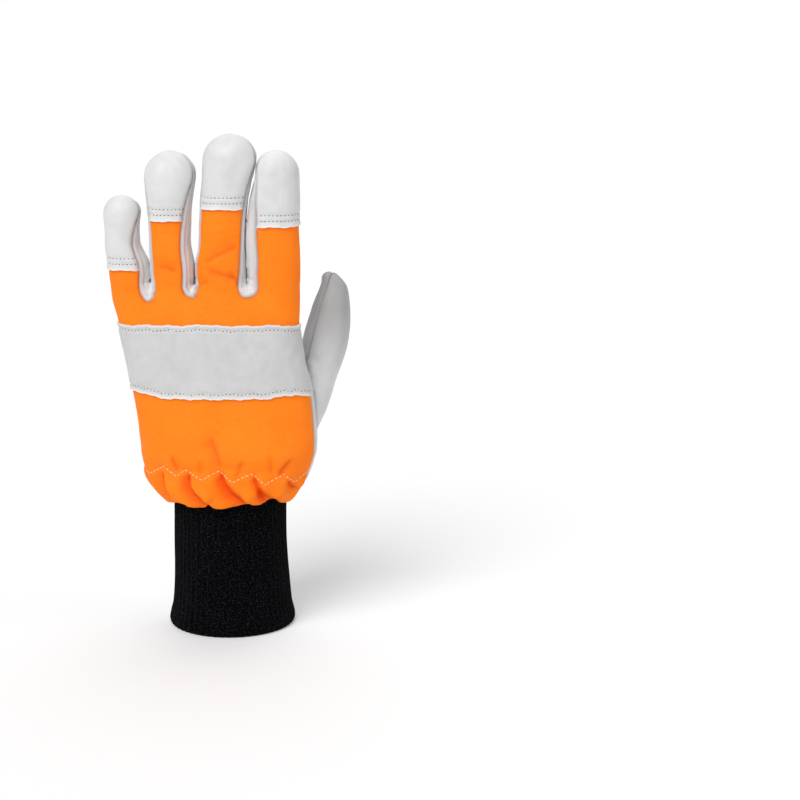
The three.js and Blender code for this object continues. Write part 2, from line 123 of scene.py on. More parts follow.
# Strips between the fingers: ease runs from the seam's place on the back to the finger's side, and palm is
# the place of the other seam, as a share of half the finger's width
stripSeam = rowsOf(
    "up ease palm",
    (0, 0, 0.8),
    (0.5, 0, 0.82),
    (1.1, 0.12, 0.84),
    (1.6, 0.4, 0.88),
    (2, 0.75, 0.94),
    (2.25, 0.9, 0.97),
    (2.6, 1, 1),
)

thumb = {"top": 139, "reach": 67.5, "forward": 33, "thickness": 30, "width": 35, "seamShare": -0.6}
thumbSections = rowsOf(
    "up side fore thick wide",
    (0.14, 0.47, 0.2, 0.5, 0.45),
    (0.24, 0.54, 0.33, 0.9, 0.8),
    (0.38, 0.655, 0.52, 1.04, 1),
    (0.5, 0.745, 0.68, 1.02, 1),
    (0.63, 0.855, 0.8, 1, 0.97),
    (0.74, 0.905, 0.88, 0.93, 0.94),
    (0.82, 0.935, 0.93, 0.83, 0.9),
    (0.895, 0.958, 0.97, 0.67, 0.79),
    (0.955, 0.976, 0.99, 0.5, 0.62),
    (0.985, 0.986, 1, 0.36, 0.45),
    (1, 0.988, 1, 0.14, 0.16),
)

# Seam between back and palm at each outer side, as shares of the hem's half depth
sideSeam = rowsOf(
    "up left right",
    (-0.3, 0.08, -0.3),
    (0.1, 0.08, -0.34),
    (0.3, 0.08, -0.37),
    (0.5, 0.06, -0.2),
    (0.78, 0.03, 0.02),
    (1, 0.03, 0.06),
)

# Gathers under the wrist elastic: turn, spread and lean are shares of the full turn from +X
gathers = {"rise": 3.6, "elasticHeight": 26, "scallop": 2.6, "arch": 3}
elastic = {"teeth": 15, "toothHeight": 6, "above": 21}  # the zig-zag row round the palm, above the hem
gatherFolds = rowsOf(
    "turn rise spread lean",
    (0.005, 0.5, 0.026, 0.004),
    (0.075, 0.8, 0.024, -0.006),
    (0.148, 0.9, 0.022, 0.008),
    (0.215, 0.7, 0.024, -0.004),
    (0.288, 1, 0.023, 0.006),
    (0.36, 0.8, 0.022, -0.008),
    (0.435, 0.9, 0.025, 0.006),
    (0.51, 0.8, 0.024, -0.004),
    (0.585, 0.7, 0.023, -0.01),
    (0.655, 1, 0.024, -0.014),
    (0.728, 0.9, 0.025, -0.012),
    (0.806, 1, 0.024, -0.008),
    (0.872, 0.8, 0.019, -0.006),
    (0.935, 0.9, 0.021, 0.004),
)

# The cloth's lower edge on the back, and the zig-zag row of the elastic
hemLine = rowsOf(
    "x z",
    (-42, 79), (-36, 80.4), (-31, 82.2), (-26, 84.6), (-23.5, 84.2), (-20.6, 82.5), (-17, 82),
    (-12.8, 83.2), (-9.7, 85.6), (-8.2, 84.8), (-5.9, 83.1), (-1.6, 82.3), (3.6, 83.2), (7.1, 84),
    (11.5, 85.6), (14.1, 85.5), (17.5, 84.2), (21, 84), (23.6, 85), (27, 85.6), (29.6, 84.6),
    (33, 81.6), (38, 79.6), (42, 78.6),
)
zigZag = rowsOf(
    "x z",
    (-50.2, 99.8), (-45.4, 100.9), (-37.1, 106.6), (-29, 101.1), (-23.7, 105.3), (-13, 100.4),
    (-3.2, 105), (5.5, 99.3), (16.6, 103.2), (25.1, 97.6), (36.2, 101.6), (42.2, 95.6),
    (50.5, 101.2),
)

# Creases in the cloth and leather of the back, drawn in x and z. The bulge stands to the right of the line,
# as it is walked, when lift is above 0. sharp and wide are the widths on that side and the other.
creases = rowsOf(
    "path depth sharp wide lift",
    ([(-38, 104), (-37, 97), (-35, 92.6), (-31, 87)], 1.5, 1.8, 3.6, -0.5),
    ([(-21.2, 104), (-20.2, 96), (-17.4, 91.8), (-13, 88.4), (-9, 84.5)], 2.7, 1.5, 5, -1),
    ([(-2, 104.5), (0.6, 97.7), (4.7, 92.8), (9, 89.4), (12.6, 84.5)], 2.8, 1.5, 5, -1),
    ([(17.2, 103), (19.3, 96.6), (21.8, 91.8), (24.6, 84.5)], 2.3, 1.5, 4, -0.9),
    ([(18.5, 94.6), (24.2, 90.6), (29, 86), (32, 82)], 1.7, 1.5, 3.5, -0.7),
    ([(36.5, 99), (39.5, 93.6), (42, 89)], 1.3, 1.6, 3, -0.5),
    ([(-32.4, 115), (-30.2, 108.7), (-27.6, 103)], 0.8, 2, 3.6, 0.4),
    ([(-8.6, 126), (-4.4, 116), (-1.4, 106)], 0.8, 2.6, 5, -0.3),
    ([(11.8, 112), (9.4, 107), (7.6, 100.6)], 0.75, 1.8, 3.4, 0.4),
    ([(41, 112), (36.2, 106.4), (32.2, 100.8)], 0.9, 1.8, 3.6, 0.5),
    ([(25.6, 115), (28.2, 108.9), (27.6, 101)], 0.5, 2, 3.4, 0.3),
    ([(-14, 113), (-14.6, 107), (-13.2, 101.6)], 0.55, 2, 3, 0.3),
    ([(-41, 226.4), (-34, 227.2), (-26.4, 223.6)], 0.9, 1.8, 4, 0.4),
    ([(-12, 229), (-4.4, 233.4), (3, 237), (9.4, 239.7)], 0.9, 2, 4.6, 0.4),
    ([(-9.8, 226), (0.5, 222.2), (8.6, 219.4)], 0.9, 2, 4, -0.4),
    ([(-49.6, 205.6), (-45.4, 209.4), (-40, 213.6)], 0.9, 1.6, 3.4, 0.3),
    ([(-19.4, 210.6), (-15, 215.2), (-8, 219.6)], 0.8, 1.6, 3.4, 0.3),
    ([(11, 213.4), (7, 220.6), (2.4, 225.4)], 0.7, 2, 4, -0.3),
    ([(12, 296), (8.6, 284), (6, 272)], 0.75, 4, 6, 0.3),
    ([(-16, 268), (-15, 277), (-16.5, 284)], 0.5, 2, 4, -0.2),
)

thumbCreases = rowsOf(
    "path depth wide",
    ([(48.9, -4.1, 167.5), (50.5, 8.9, 159), (53.9, 6, 148.9)], 1.3, 1.7),
    ([(50, 3, 178), (53, 8, 168), (57, 12, 160)], 0.7, 2.2),
)

# Two waves and a ripple that a cut leather edge wanders by
tornWaves = rowsOf("high often", (0.22, 0.42), (0.14, 1.05), (0.06, 2.1))

finish = {
    "voxel": 0.85,
    "band": (148, 192),  # the lower and the upper edge of the knuckle band
    "lapUnderCap": 6,
    "capLift": 0.95,
    "bandLift": 0.95,
    "liftWidth": 3.4,  # a lifted piece has its full lift this far from a sewn edge
    "seamDrop": 1.35,
    "seamWidth": 2.1,
    "hemDrop": 1.5,
    "hemWidth": 2.4,
    "underDrop": 0.9,  # how much lower the cloth lies under the caps and the band
    "threadDrop": 0.42,
    "press": 0.3,  # half the least gap between two fingers
    "clothAround": 0.27,  # metres of the cloth's map round the hand
}
fingerReach = max(finger["length"] for finger in fingers)
waistZ = webZ + hand["waistRise"]
edge = hand["knuckleRight"]
for finger in fingers:
    finger["rootX"] = edge - finger["root"] / 2
    finger["tipZ"] = webZ + finger["length"]
    finger["domeZ"] = finger["tipZ"] - finger["tip"] / 2
    edge -= finger["root"] + finger["space"]
fingerPairs = list(zip(fingers[:-1], fingers[1:]))


def mix(a, b, share):
    return a + (b - a) * share


def smooth(value):
    value = np.clip(value, 0, 1)
    return value * value * (3 - 2 * value)


def bell(value, width):
    return np.exp(-((value / width) ** 2))


def curveThrough(rows, key, column):  # a smooth curve through one column that never overshoots its rows
    at = np.array([row[key] for row in rows], float)
    value = np.array([row[column] for row in rows], float)
    slope = np.diff(value) / np.diff(at)
    tangent = np.zeros(len(at))
    tangent[0], tangent[-1] = slope[0], slope[-1]
    product = slope[:-1] * slope[1:]
    total = np.where(product > 0, slope[:-1] + slope[1:], 1)
    tangent[1:-1] = np.where(product > 0, 2 * product / total, 0)

    def read(x):
        x = np.clip(np.asarray(x, float), at[0], at[-1])
        i = np.clip(np.searchsorted(at, x, side="right") - 1, 0, len(at) - 2)
        step = at[i + 1] - at[i]
        t = (x - at[i]) / step
        start = (2 * t**3 - 3 * t**2 + 1) * value[i] + (t**3 - 2 * t**2 + t) * step * tangent[i]
        return start + (3 * t**2 - 2 * t**3) * value[i + 1] + (t**3 - t**2) * step * tangent[i + 1]

    return read


def curvesOf(rows, key):
    return {column: curveThrough(rows, key, column) for column in rows[0] if column != key}


handCurves = curvesOf(handSections, "up")
fingerCurves = curvesOf(fingerSections, "up")
stripCurves = curvesOf(stripSeam, "up")
thumbCurves = curvesOf(thumbSections, "up")
sideCurves = curvesOf(sideSeam, "up")
hemCurve = curveThrough(hemLine, "x", "z")


def ovalXY(turn, left, right, back, palm, power):  # turn in full turns
    c, s = np.cos(turn * 2 * math.pi), np.sin(turn * 2 * math.pi)
    x = np.sign(c) * np.abs(c) ** (2 / power) * np.where(c > 0, right, left)
    y = np.sign(s) * np.abs(s) ** (2 / power) * np.where(s > 0, palm, back)
    return x, y


def curlAt(z):
    return hand["curl"] * np.maximum(0, (z - webZ) / fingerReach) ** 2


def handReach(z):
    up = (z - hand["hemZ"]) / hand["height"]
    left = mix(hand["hemHalfWidth"], hand["knuckleLeft"], handCurves["left"](up))
    right = mix(hand["hemHalfWidth"], hand["knuckleRight"], handCurves["right"](up))
    back = mix(hand["hemHalfDepth"], hand["knuckleBack"], handCurves["back"](up))
    palm = mix(hand["hemHalfDepth"], hand["knucklePalm"], handCurves["palm"](up))
    return left, right, back, palm, mix(2, hand["power"], np.clip(up / 0.2, 0, 1))


def fingerUp(finger, z):
    low = (z - webZ) / hand["waistRise"]
    return np.where(z < waistZ, low, 1 + (z - waistZ) / (finger["domeZ"] - waistZ))


def fingerX(finger, z):
    up = fingerUp(finger, z)
    lean = fingerCurves["waist"](up) * finger["waistLean"] + fingerCurves["tip"](up) * finger["tipLean"]
    return finger["rootX"] + lean


def fingerHalf(finger, z):
    up = fingerUp(finger, z)
    waist = fingerCurves["waist"](up) * (finger["waist"] - finger["root"])
    return (finger["root"] + waist + fingerCurves["tip"](up) * (finger["tip"] - finger["root"])) / 2


def fingerDeep(finger, z):
    return finger["depth"] / 2 * fingerCurves["deep"](fingerUp(finger, z))


def gapX(right, left, z):  # the middle of the gap between two neighbours
    return (fingerX(right, z) - fingerHalf(right, z) + fingerX(left, z) + fingerHalf(left, z)) / 2


def spreadRamp(z):  # the fingers stand a little apart while the form is made, so that they stay separate
    return smooth((z - webZ + 5) / 6)


def foldAt(turn, climb):
    total = np.zeros(np.shape(turn))
    for fold in gatherFolds:
        away = turn - fold["turn"] - fold["lean"] * climb
        total += fold["rise"] * bell(away - np.round(away), fold["spread"])
    return total


def turnAt(x, y, z):  # where a point lies round the hand, in full turns
    left, right, back, palm, power = handReach(z)
    c = np.sign(x) * np.abs(x / np.where(x > 0, right, left)) ** (power / 2)
    s = np.sign(y) * np.abs(y / np.where(y > 0, palm, back)) ** (power / 2)
    return np.arctan2(s, c) / (2 * math.pi) % 1


def loftedTube(around, levels, place):  # a grid rolled into a closed tube by place(turn, rise)
    bm = bmesh.new()
    bmesh.ops.create_grid(bm, x_segments=around, y_segments=levels, size=1)
    share = (np.array([v.co for v in bm.verts]) + 1) / 2
    for vert, spot in zip(bm.verts, place(share[:, 0], share[:, 1])):
        vert.co = spot
    bmesh.ops.remove_doubles(bm, verts=bm.verts, dist=0.002)
    bmesh.ops.holes_fill(bm, edges=[e for e in bm.edges if e.is_boundary], sides=0)
    bmesh.ops.recalc_face_normals(bm, faces=bm.faces)
    return bm


def handTube():
    def place(turn, rise):
        z = mix(hand["hemZ"] - 8, webZ, rise)
        left, right, back, palm, power = handReach(z)
        x, y = ovalXY(turn, left, right, back, palm, power)
        return np.stack([x, y, z], 1)

    return loftedTube(192, 110, place)


def fingerTube(finger):
    lowZ, domeZ = webZ - 0.7 * hand["waistRise"], finger["domeZ"]
    straight = 0.72  # the share of the rings that lie below the round end

    def place(turn, rise):
        inDome = rise > straight
        angle = np.where(inDome, (rise - straight) / (1 - straight), 0) * math.pi / 2
        dome = domeZ + np.sin(angle) * finger["tip"] / 2
        z = np.where(inDome, dome, mix(lowZ, domeZ, rise / straight))
        body = np.minimum(z, domeZ)
        fall = np.where(rise > 0.9999, 0, np.cos(angle))
        full = fingerCurves["full"](fingerUp(finger, body))
        halfX, halfY = fingerHalf(finger, body) * full * fall, fingerDeep(finger, body) * full * fall
        x, y = ovalXY(turn, halfX, halfX, halfY, halfY, hand["fingerPower"])
        return np.stack([x + fingerX(finger, body) + finger["apart"] * spreadRamp(z), y + curlAt(z), z], 1)

    return loftedTube(84, 110, place)


def thumbTube():
    lowUp = thumbSections[0]["up"]

    def place(turn, rise):
        up = mix(lowUp, 1, 1 - (1 - rise) ** 1.6)
        halfX = thumbCurves["thick"](up) * thumb["thickness"] / 2
        halfY = thumbCurves["wide"](up) * thumb["width"] / 2
        x, y = ovalXY(turn, halfX, halfX, halfY, halfY, hand["fingerPower"])
        x += thumbCurves["side"](up) * thumb["reach"]
        y += thumbCurves["fore"](up) * thumb["forward"]
        return np.stack([x, y, hand["hemZ"] + up * thumb["top"]], 1)

    return loftedTube(96, 110, place)


def meshObject(name, bm):
    mesh = bpy.data.meshes.new(name)
    bm.to_mesh(mesh)
    obj = bpy.data.objects.new(name, mesh)
    bpy.context.scene.collection.objects.link(obj)
    return obj


def appliedMesh(obj):  # the object's mesh with its modifiers applied; the object itself goes
    depsgraph = bpy.context.evaluated_depsgraph_get()
    mesh = bpy.data.meshes.new_from_object(obj.evaluated_get(depsgraph))
    bpy.data.objects.remove(obj)
    return mesh


def relax(spots, edges, weight, rounds):
    count = np.bincount(edges.ravel(), minlength=len(spots))[:, None]
    for _ in range(rounds):
        total = np.stack([
            np.bincount(edges[:, 0], spots[edges[:, 1], k], len(spots))
            + np.bincount(edges[:, 1], spots[edges[:, 0], k], len(spots))
            for k in range(3)
        ], 1)
        spots = spots + weight[:, None] * 0.5 * (total / count - spots)
    return spots


def gloveForm():
    handBody, thumbBody = handTube(), thumbTube()
    whole = bmesh.new()
    for part in [handBody, thumbBody] + [fingerTube(finger) for finger in fingers]:
        mesh = bpy.data.meshes.new("part")
        part.to_mesh(mesh)
        whole.from_mesh(mesh)
    obj = meshObject("form", whole)
    remesh = obj.modifiers.new("skin", "REMESH")
    remesh.mode, remesh.voxel_size = "VOXEL", finish["voxel"]
    mesh = appliedMesh(obj)
    spots = np.zeros(len(mesh.vertices) * 3)
    mesh.vertices.foreach_get("co", spots)
    edges = np.zeros(len(mesh.edges) * 2, int)
    mesh.edges.foreach_get("vertices", edges)
    spots, edges = spots.reshape(-1, 3), edges.reshape(-1, 2)
    spots = relax(spots, edges, np.ones(len(spots)), 8)
    z = spots[:, 2]
    ramp = spreadRamp(z)
    middles = [gapX(r, l, z) + (r["apart"] + l["apart"]) / 2 * ramp for r, l in fingerPairs]
    which = sum((spots[:, 0] < middle).astype(int) for middle in middles)
    apart = np.array([finger["apart"] for finger in fingers])[which]
    spots[:, 0] -= apart * ramp
    for i, (right, left) in enumerate(fingerPairs):  # neighbours that meet press flat, not into each other
        line, high = gapX(right, left, z), z > webZ + 10
        onRight, onLeft = high & (which <= i), high & (which > i)
        spots[onRight, 0] = np.maximum(spots[onRight, 0], line[onRight] + finish["press"])
        spots[onLeft, 0] = np.minimum(spots[onLeft, 0], line[onLeft] - finish["press"])
    knuckles = smooth((z - webZ + 34) / 14) * smooth((webZ + 7 - z) / 8)
    nearThumb = smooth((spots[:, 0] - 30) / 8) * smooth((z - 95) / 15) * smooth((webZ - 20 - z) / 10)
    spots = relax(spots, edges, knuckles, 70)
    spots = relax(spots, edges, nearThumb, 45)
    mesh.vertices.foreach_set("co", spots.ravel())
    bm = bmesh.new()
    bm.from_mesh(mesh)
    handTree, thumbTree = BVHTree.FromBMesh(handBody), BVHTree.FromBMesh(thumbBody)
    return bm, handTree, thumbTree


def coordsOf(items):
    return np.array([item.co[:] for item in items])


def thumbField(spots):  # above 0 where the surface is the thumb's
    far = -9.0
    value = np.full(len(spots), far)
    near = (spots[:, 0] > 12) & (spots[:, 2] > 88) & (spots[:, 2] < webZ + 8) & (spots[:, 1] > -26)
    for i in np.nonzero(near)[0]:
        spot = Vector(spots[i])
        value[i] = handTree.find_nearest(spot)[3] - thumbTree.find_nearest(spot)[3]
    byIndex = (spots[:, 2] > webZ - 12) & (np.abs(spots[:, 1]) < 15)
    value[byIndex & (spots[:, 0] < hand["knuckleRight"] + 4)] = far
    return value


def thumbSeamField(spots):  # above 0 on the palm's side of the thumb's seam
    up = (spots[:, 2] - hand["hemZ"]) / thumb["top"]
    half = thumbCurves["thick"](up) * thumb["thickness"] / 2
    return thumbCurves["side"](up) * thumb["reach"] + thumb["seamShare"] * half - spots[:, 0]


def sideField(spots):  # below 0 on the back
    x, y, z = spots.T
    up = (z - hand["hemZ"]) / hand["height"]
    farX = hand["knuckleLeft"] + thumb["reach"]
    share = mix(sideCurves["left"](up), sideCurves["right"](up), (x + farX) / (2 * farX))
    return y - curlAt(z) - share * hand["hemHalfDepth"]


def stripFields(spots):  # above 0 on the strip between each pair of fingers
    x, y, z = spots.T
    power, far = hand["fingerPower"], -30.0
    fields = []
    for right, left in fingerPairs:
        middle = gapX(right, left, z)
        value = np.full(len(x), far)
        onBack = y - curlAt(z) - hand["sideY"] < 0
        for finger, toward, seam in ((right, -1, "seamLeft"), (left, 1, "seamRight")):
            up = fingerUp(finger, z)
            half, deep = fingerHalf(finger, z), fingerDeep(finger, z)
            hold = finger["seamHold"] if seam == "seamLeft" else 0
            hold = hold * smooth(up) * smooth((2.5 - up) / 1.2)
            share = mix(finger[seam], 1, stripCurves["ease"](up)) - hold
            share = np.where(onBack, share, stripCurves["palm"](up))
            a = toward * (x - fingerX(finger, z)) / half
            b = np.abs(y - curlAt(z) - hand["sideY"]) / deep
            rest = np.maximum(0, 1 - share**power) ** (1 / power)
            byAngle = (np.arctan2(rest, share) - np.arctan2(b, a)) * (half + deep) / 2
            byWidth = (a - share) * half
            away = np.where(z < webZ, byWidth, mix(byWidth, byAngle, smooth((z - webZ) / 9)))
            mine = (x - middle) * toward <= 0
            value[mine] = away[mine]
        wide = []
        for finger, seam in ((right, "seamLeft"), (left, "seamRight")):
            share = np.where(onBack, finger[seam], stripCurves["palm"](0))
            wide.append((1 - share) * fingerHalf(finger, webZ) + right["space"] / 2)
        offset = x - gapX(right, left, webZ)
        width = np.where(offset > 0, wide[0], wide[1])
        drop = np.maximum(0, webZ - z) / right["dip"]
        foot = (1 - np.sqrt((offset / width) ** 2 + drop**2)) * np.minimum(width, right["dip"])
        near = (z > webZ - 12) & (np.abs(x - middle) < 26)
        fields.append(np.where(near, np.where(z < webZ, foot, value), far))
    return fields


def stripField(spots):
    return np.max(stripFields(spots), axis=0)


def torn(x, seed):  # the small wander of a cut leather edge
    return sum(wave["high"] * np.sin(x * wave["often"] + i * seed) for i, wave in enumerate(tornWaves, 1))


def fingerOf(spots):
    x, z = spots[:, 0], spots[:, 2]
    return sum((x < gapX(right, left, z)).astype(int) for right, left in fingerPairs)


def capEdgeZ(spots):
    return np.array([finger["tipZ"] - finger["cap"] for finger in fingers])[fingerOf(spots)]


def capField(spots):  # above 0 past a cap's lower edge
    return spots[:, 2] - capEdgeZ(spots) - torn(spots[:, 0], 1.7)


def lapField(spots):  # above 0 where the cloth under a cap has ended
    return spots[:, 2] - capEdgeZ(spots) - finish["lapUnderCap"]


def bandLowField(spots):
    x = spots[:, 0]
    sag = 2.6 * smooth((-36 - x) / 16) + 1.2 * smooth((x - 24) / 14) - 2.6 * smooth((x - 42) / 9)
    return spots[:, 2] - finish["band"][0] - sag - torn(x, 0.4) * 1.3


def bandHighField(spots):
    x = spots[:, 0]
    sag = -0.8 * smooth((-44 - x) / 16) + 0.8 * smooth(1 - np.abs(x + 12) / 14) - 2.2 * smooth((x - 30) / 16)
    return finish["band"][1] + sag + torn(x, 2.6) * 1.2 - spots[:, 2]


def hemField(spots):  # above 0 on the cloth
    x, y, z = spots.T
    turn = turnAt(x, y, np.maximum(z, hand["hemZ"]))
    arch = gathers["arch"] * np.sin(turn * 2 * math.pi) ** 2
    plain = hand["hemZ"] + arch + gathers["scallop"] * np.maximum(0, 1 - foldAt(turn, 0))
    return z - mix(plain, hemCurve(x), smooth((-y - 3) / 9))


def cutAlong(bm, field, allowed=None):  # edges that follow the line where the field is 0
    verts = list(bm.verts)
    spots = coordsOf(verts)
    value = field(spots)
    usable = np.ones(len(verts), bool) if allowed is None else allowed(spots)
    bm.verts.index_update()
    snap = 0.24 * finish["voxel"]  # a vertex this near to the line moves onto it
    for i in np.nonzero((np.abs(value) < snap) & usable)[0]:
        vert, own = verts[i], value[i]
        across = [e.other_vert(vert) for e in vert.link_edges]
        across = [n for n in across if value[n.index] * own < 0 and abs(value[n.index]) > snap]
        if across:
            other = max(across, key=lambda n: abs(value[n.index]))
            vert.co = vert.co.lerp(other.co, own / (own - value[other.index]))
            value[i] = 0
    onLine = [verts[i] for i in np.nonzero(value == 0)[0]]
    crossed = []
    for e in bm.edges:
        a, b = e.verts[0].index, e.verts[1].index
        if value[a] * value[b] < 0 and usable[a] and usable[b]:
            crossed.append((e, e.verts[0], value[a] / (value[a] - value[b])))
    for e, vert, share in crossed:
        onLine.append(bmesh.utils.edge_split(e, vert, share)[1])
    bmesh.ops.connect_verts(bm, verts=onLine)


def creaseShift(spots):  # how far the creases move each point along its normal, and the painted shade line along each
    x, z = spots[:, 0], spots[:, 2]
    onBack = spots[:, 1] < curlAt(z)
    reach = 18  # no crease is felt further away
    shift, line = np.zeros(len(x)), np.zeros(len(x))
    for crease in creases:
        path = np.array(crease["path"], float)
        low, high = path.min(0) - reach, path.max(0) + reach
        near = np.nonzero(onBack & (x > low[0]) & (x < high[0]) & (z > low[1]) & (z < high[1]))[0]
        points = np.stack([x[near], z[near]], 1)
        best, side, along = np.full(len(near), 1e9), np.ones(len(near)), np.zeros(len(near))
        walked = 0
        for a, b in zip(path[:-1], path[1:]):
            run = b - a
            length = np.linalg.norm(run)
            t = np.clip((points - a) @ run / length**2, 0, 1)
            offset = points - (a + t[:, None] * run)
            away = np.linalg.norm(offset, axis=1)
            toRight = run[1] * offset[:, 0] - run[0] * offset[:, 1] > 0
            closer = away < best
            best = np.where(closer, away, best)
            side = np.where(closer, np.where(toRight, 1, -1), side)
            along = np.where(closer, walked + t * length, along)
            walked += length
        fade = smooth(along / 5 + 0.1) * smooth((walked - along) / 4 + 0.1)
        sharp, wide, lift = crease["sharp"], crease["wide"], crease["lift"]
        bulging = side * lift > 0
        dip = bell(best, np.where(bulging, sharp, wide))
        rise = abs(lift) * (1 - bell(best, sharp)) * bell(best, wide * 1.7)
        shift[near] += fade * crease["depth"] * (np.where(bulging, rise, 0) - dip)
        # painted shade line along the crease
        line[near] += fade * crease["depth"] / 2.4 * bell(best, 0.95)
    return shift, line


def thumbCreaseShift(spots):
    shift = np.zeros(len(spots))
    for crease in thumbCreases:
        path = np.array(crease["path"], float)
        away = np.full(len(spots), 1e9)
        for a, b in zip(path[:-1], path[1:]):
            run = b - a
            t = np.clip((spots - a) @ run / (run @ run), 0, 1)[:, None]
            away = np.minimum(away, np.linalg.norm(spots - (a + t * run), axis=1))
        shift -= crease["depth"] * bell(away, crease["wide"])
    return shift


def elasticZ(spots):  # the height of the zig-zag row: the drawn one on the back, even teeth round the palm
    x, y, z = spots.T
    turn = turnAt(x, y, np.clip(z, hand["hemZ"], webZ))
    tooth = np.abs((turn * elastic["teeth"]) % 1 * 2 - 1)
    around = hand["hemZ"] + elastic["above"] + elastic["toothHeight"] * tooth
    onBack = np.interp(x, [row["x"] for row in zigZag], [row["z"] for row in zigZag])
    return mix(around, onBack, smooth((-y - 8) / 6))


def foldedSpots(spots, normals):  # the spots moved by gathers and creases, and the painted shade of their folds
    x, y, z = spots.T
    up = (z - hand["hemZ"]) / hand["height"]
    turn = turnAt(x, y, np.clip(z, hand["hemZ"], webZ))
    atWrist = z < webZ - 60
    gather = handCurves["gather"](up) * atWrist
    out = gathers["rise"] * gather * foldAt(turn, up * hand["height"] / gathers["elasticHeight"])
    out = mix(out, out * 0.7 + 0.9 * gather, smooth((-y - 10) / 8))
    away = np.hypot(x, y)
    outward = np.stack([x / away, y / away, np.zeros(len(x))], 1)
    moved = spots + outward * (out * atWrist)[:, None]
    shift, line = creaseShift(spots)
    shift = shift * np.where(atWrist, 1.45, 1) + thumbCreaseShift(spots)
    shift -= 0.6 * (bell(z - elasticZ(spots), 1.5) * atWrist)
    webs = sum(bell(x - gapX(r, l, webZ), 7) for r, l in fingerPairs)
    webs = webs * bell(z - webZ + 1, 7) * smooth(stripField(spots) / 1.5)
    rough = 0.2 + 0.25 * gather * atWrist
    soft = np.zeros(len(spots))
    for i, p in enumerate(spots):
        soft[i] = noise.noise(Vector(p) / 24) * 0.75 + noise.noise(Vector(p) / 8.5) * rough[i]
        if webs[i] > 0.05:
            soft[i] += noise.noise(Vector(p) / 2.4) * 1.1 * webs[i]
    paintedHollowShade = 0.3 * gather * np.clip(0.75 - out / gathers["rise"], 0, 1)
    # painted shade: darker in the creases' valleys, along their lines and in the gathers' hollows
    shade = 0.6 * np.clip(-shift / 3, 0, 1) + line + paintedHollowShade
    return moved + normals * (shift + soft)[:, None], np.clip(shade, 0, 1)


def stripName(right, left):
    return f"side_strip_{right['name']}_{left['name']}"


pieceNames = ["back_panel", "palm_panel", "thumb_back", "thumb_palm", "knuckle_band"]
pieceNames += ["cap_" + finger["name"] for finger in fingers]
pieceNames += [stripName(right, left) for right, left in fingerPairs]
pieceBits = {name: 1 << i for i, name in enumerate(pieceNames)}
rimHem, rimCap, rimLap, rimBand = 1, 2, 4, 8


def middlesOf(faces):
    return np.array([f.calc_center_median()[:] for f in faces])


def cutForm(bm):  # cuts every seam into the form and marks each face with the pieces that it belongs to
    slack, onLine = 0.05, 0.12  # how far past a line a cut may reach, and a vertex still lies on it

    def nearThumb(spots):
        return thumbField(spots) > -slack

    def notThumb(spots):
        return thumbField(spots) < slack

    def notStrip(spots):
        return stripField(spots) < slack

    def plain(spots):
        return notThumb(spots) & notStrip(spots)

    def onBack(spots):
        return (sideField(spots) < slack) & notStrip(spots)

    def onFinger(spots):
        return onBack(spots) & (spots[:, 2] > webZ)

    def onHand(spots):
        return onBack(spots) & (spots[:, 2] < webZ) & (spots[:, 2] > 130)

    cutAlong(bm, hemField)
    faces = list(bm.faces)
    low = hemField(middlesOf(faces)) < 0
    bmesh.ops.delete(bm, geom=[f for f, gone in zip(faces, low) if gone], context="FACES")
    cutAlong(bm, thumbField)
    cutAlong(bm, thumbSeamField, nearThumb)
    cutAlong(bm, stripField, notThumb)
    cutAlong(bm, sideField, plain)
    for field in (capField, lapField):
        cutAlong(bm, field, onFinger)
    for field in (bandLowField, bandHighField):
        cutAlong(bm, field, onHand)
    bmesh.ops.triangulate(bm, faces=[f for f in bm.faces if len(f.verts) > 4])

    marks, rims = bm.faces.layers.int.new("pieces"), bm.verts.layers.int.new("rims")
    middles = middlesOf(bm.faces)
    inThumb, strips = thumbField(middles) > 0, np.array(stripFields(middles))
    inStrip = (strips.max(0) > 0) & ~inThumb
    back = (sideField(middles) < 0) & ~inStrip & ~inThumb
    which, high = fingerOf(middles), middles[:, 2] > webZ
    belongs = {
        "back_panel": back & ((lapField(middles) < 0) | ~high),
        "palm_panel": ~back & ~inStrip & ~inThumb,
        "thumb_palm": inThumb & (thumbSeamField(middles) > 0),
        "thumb_back": inThumb & (thumbSeamField(middles) <= 0),
        "knuckle_band": back & (bandLowField(middles) > 0) & (bandHighField(middles) > 0),
    }
    for i, finger in enumerate(fingers):
        belongs["cap_" + finger["name"]] = back & high & (capField(middles) > 0) & (which == i)
    for i, (right, left) in enumerate(fingerPairs):
        belongs[stripName(right, left)] = inStrip & (strips.argmax(0) == i)
    bits = sum(belongs[name].astype(int) * bit for name, bit in pieceBits.items())
    for face, bit in zip(bm.faces, bits):
        face[marks] = int(bit)
    spots = coordsOf(bm.verts)
    kinds = np.zeros(len(spots), int)
    edges = ((rimHem, hemField), (rimCap, capField), (rimLap, lapField))
    for kind, field in (*edges, (rimBand, bandLowField), (rimBand, bandHighField)):
        kinds |= (np.abs(field(spots)) < onLine) * kind
    for vert, kind in zip(bm.verts, kinds):
        vert[rims] = int(kind)
    bm.normal_update()
    normals = np.array([v.normal[:] for v in bm.verts])
    # fold carries the painted shade of the creases and gathers to the cloth's colour
    fold = bm.verts.layers.float.new("fold")
    for vert, spot, shade in zip(bm.verts, *foldedSpots(spots, normals)):
        vert.co = spot
        vert[fold] = shade
    bm.normal_update()


def largestPart(bm):
    left, parts = set(bm.faces), []
    while left:
        part, queue = set(), [left.pop()]
        while queue:
            face = queue.pop()
            part.add(face)
            for e in face.edges:
                for other in e.link_faces:
                    if other in left:
                        left.remove(other)
                        queue.append(other)
        parts.append(part)
    parts.sort(key=len)
    crumbs = [face for part in parts[:-1] for face in part]
    bmesh.ops.delete(bm, geom=crumbs, context="FACES")


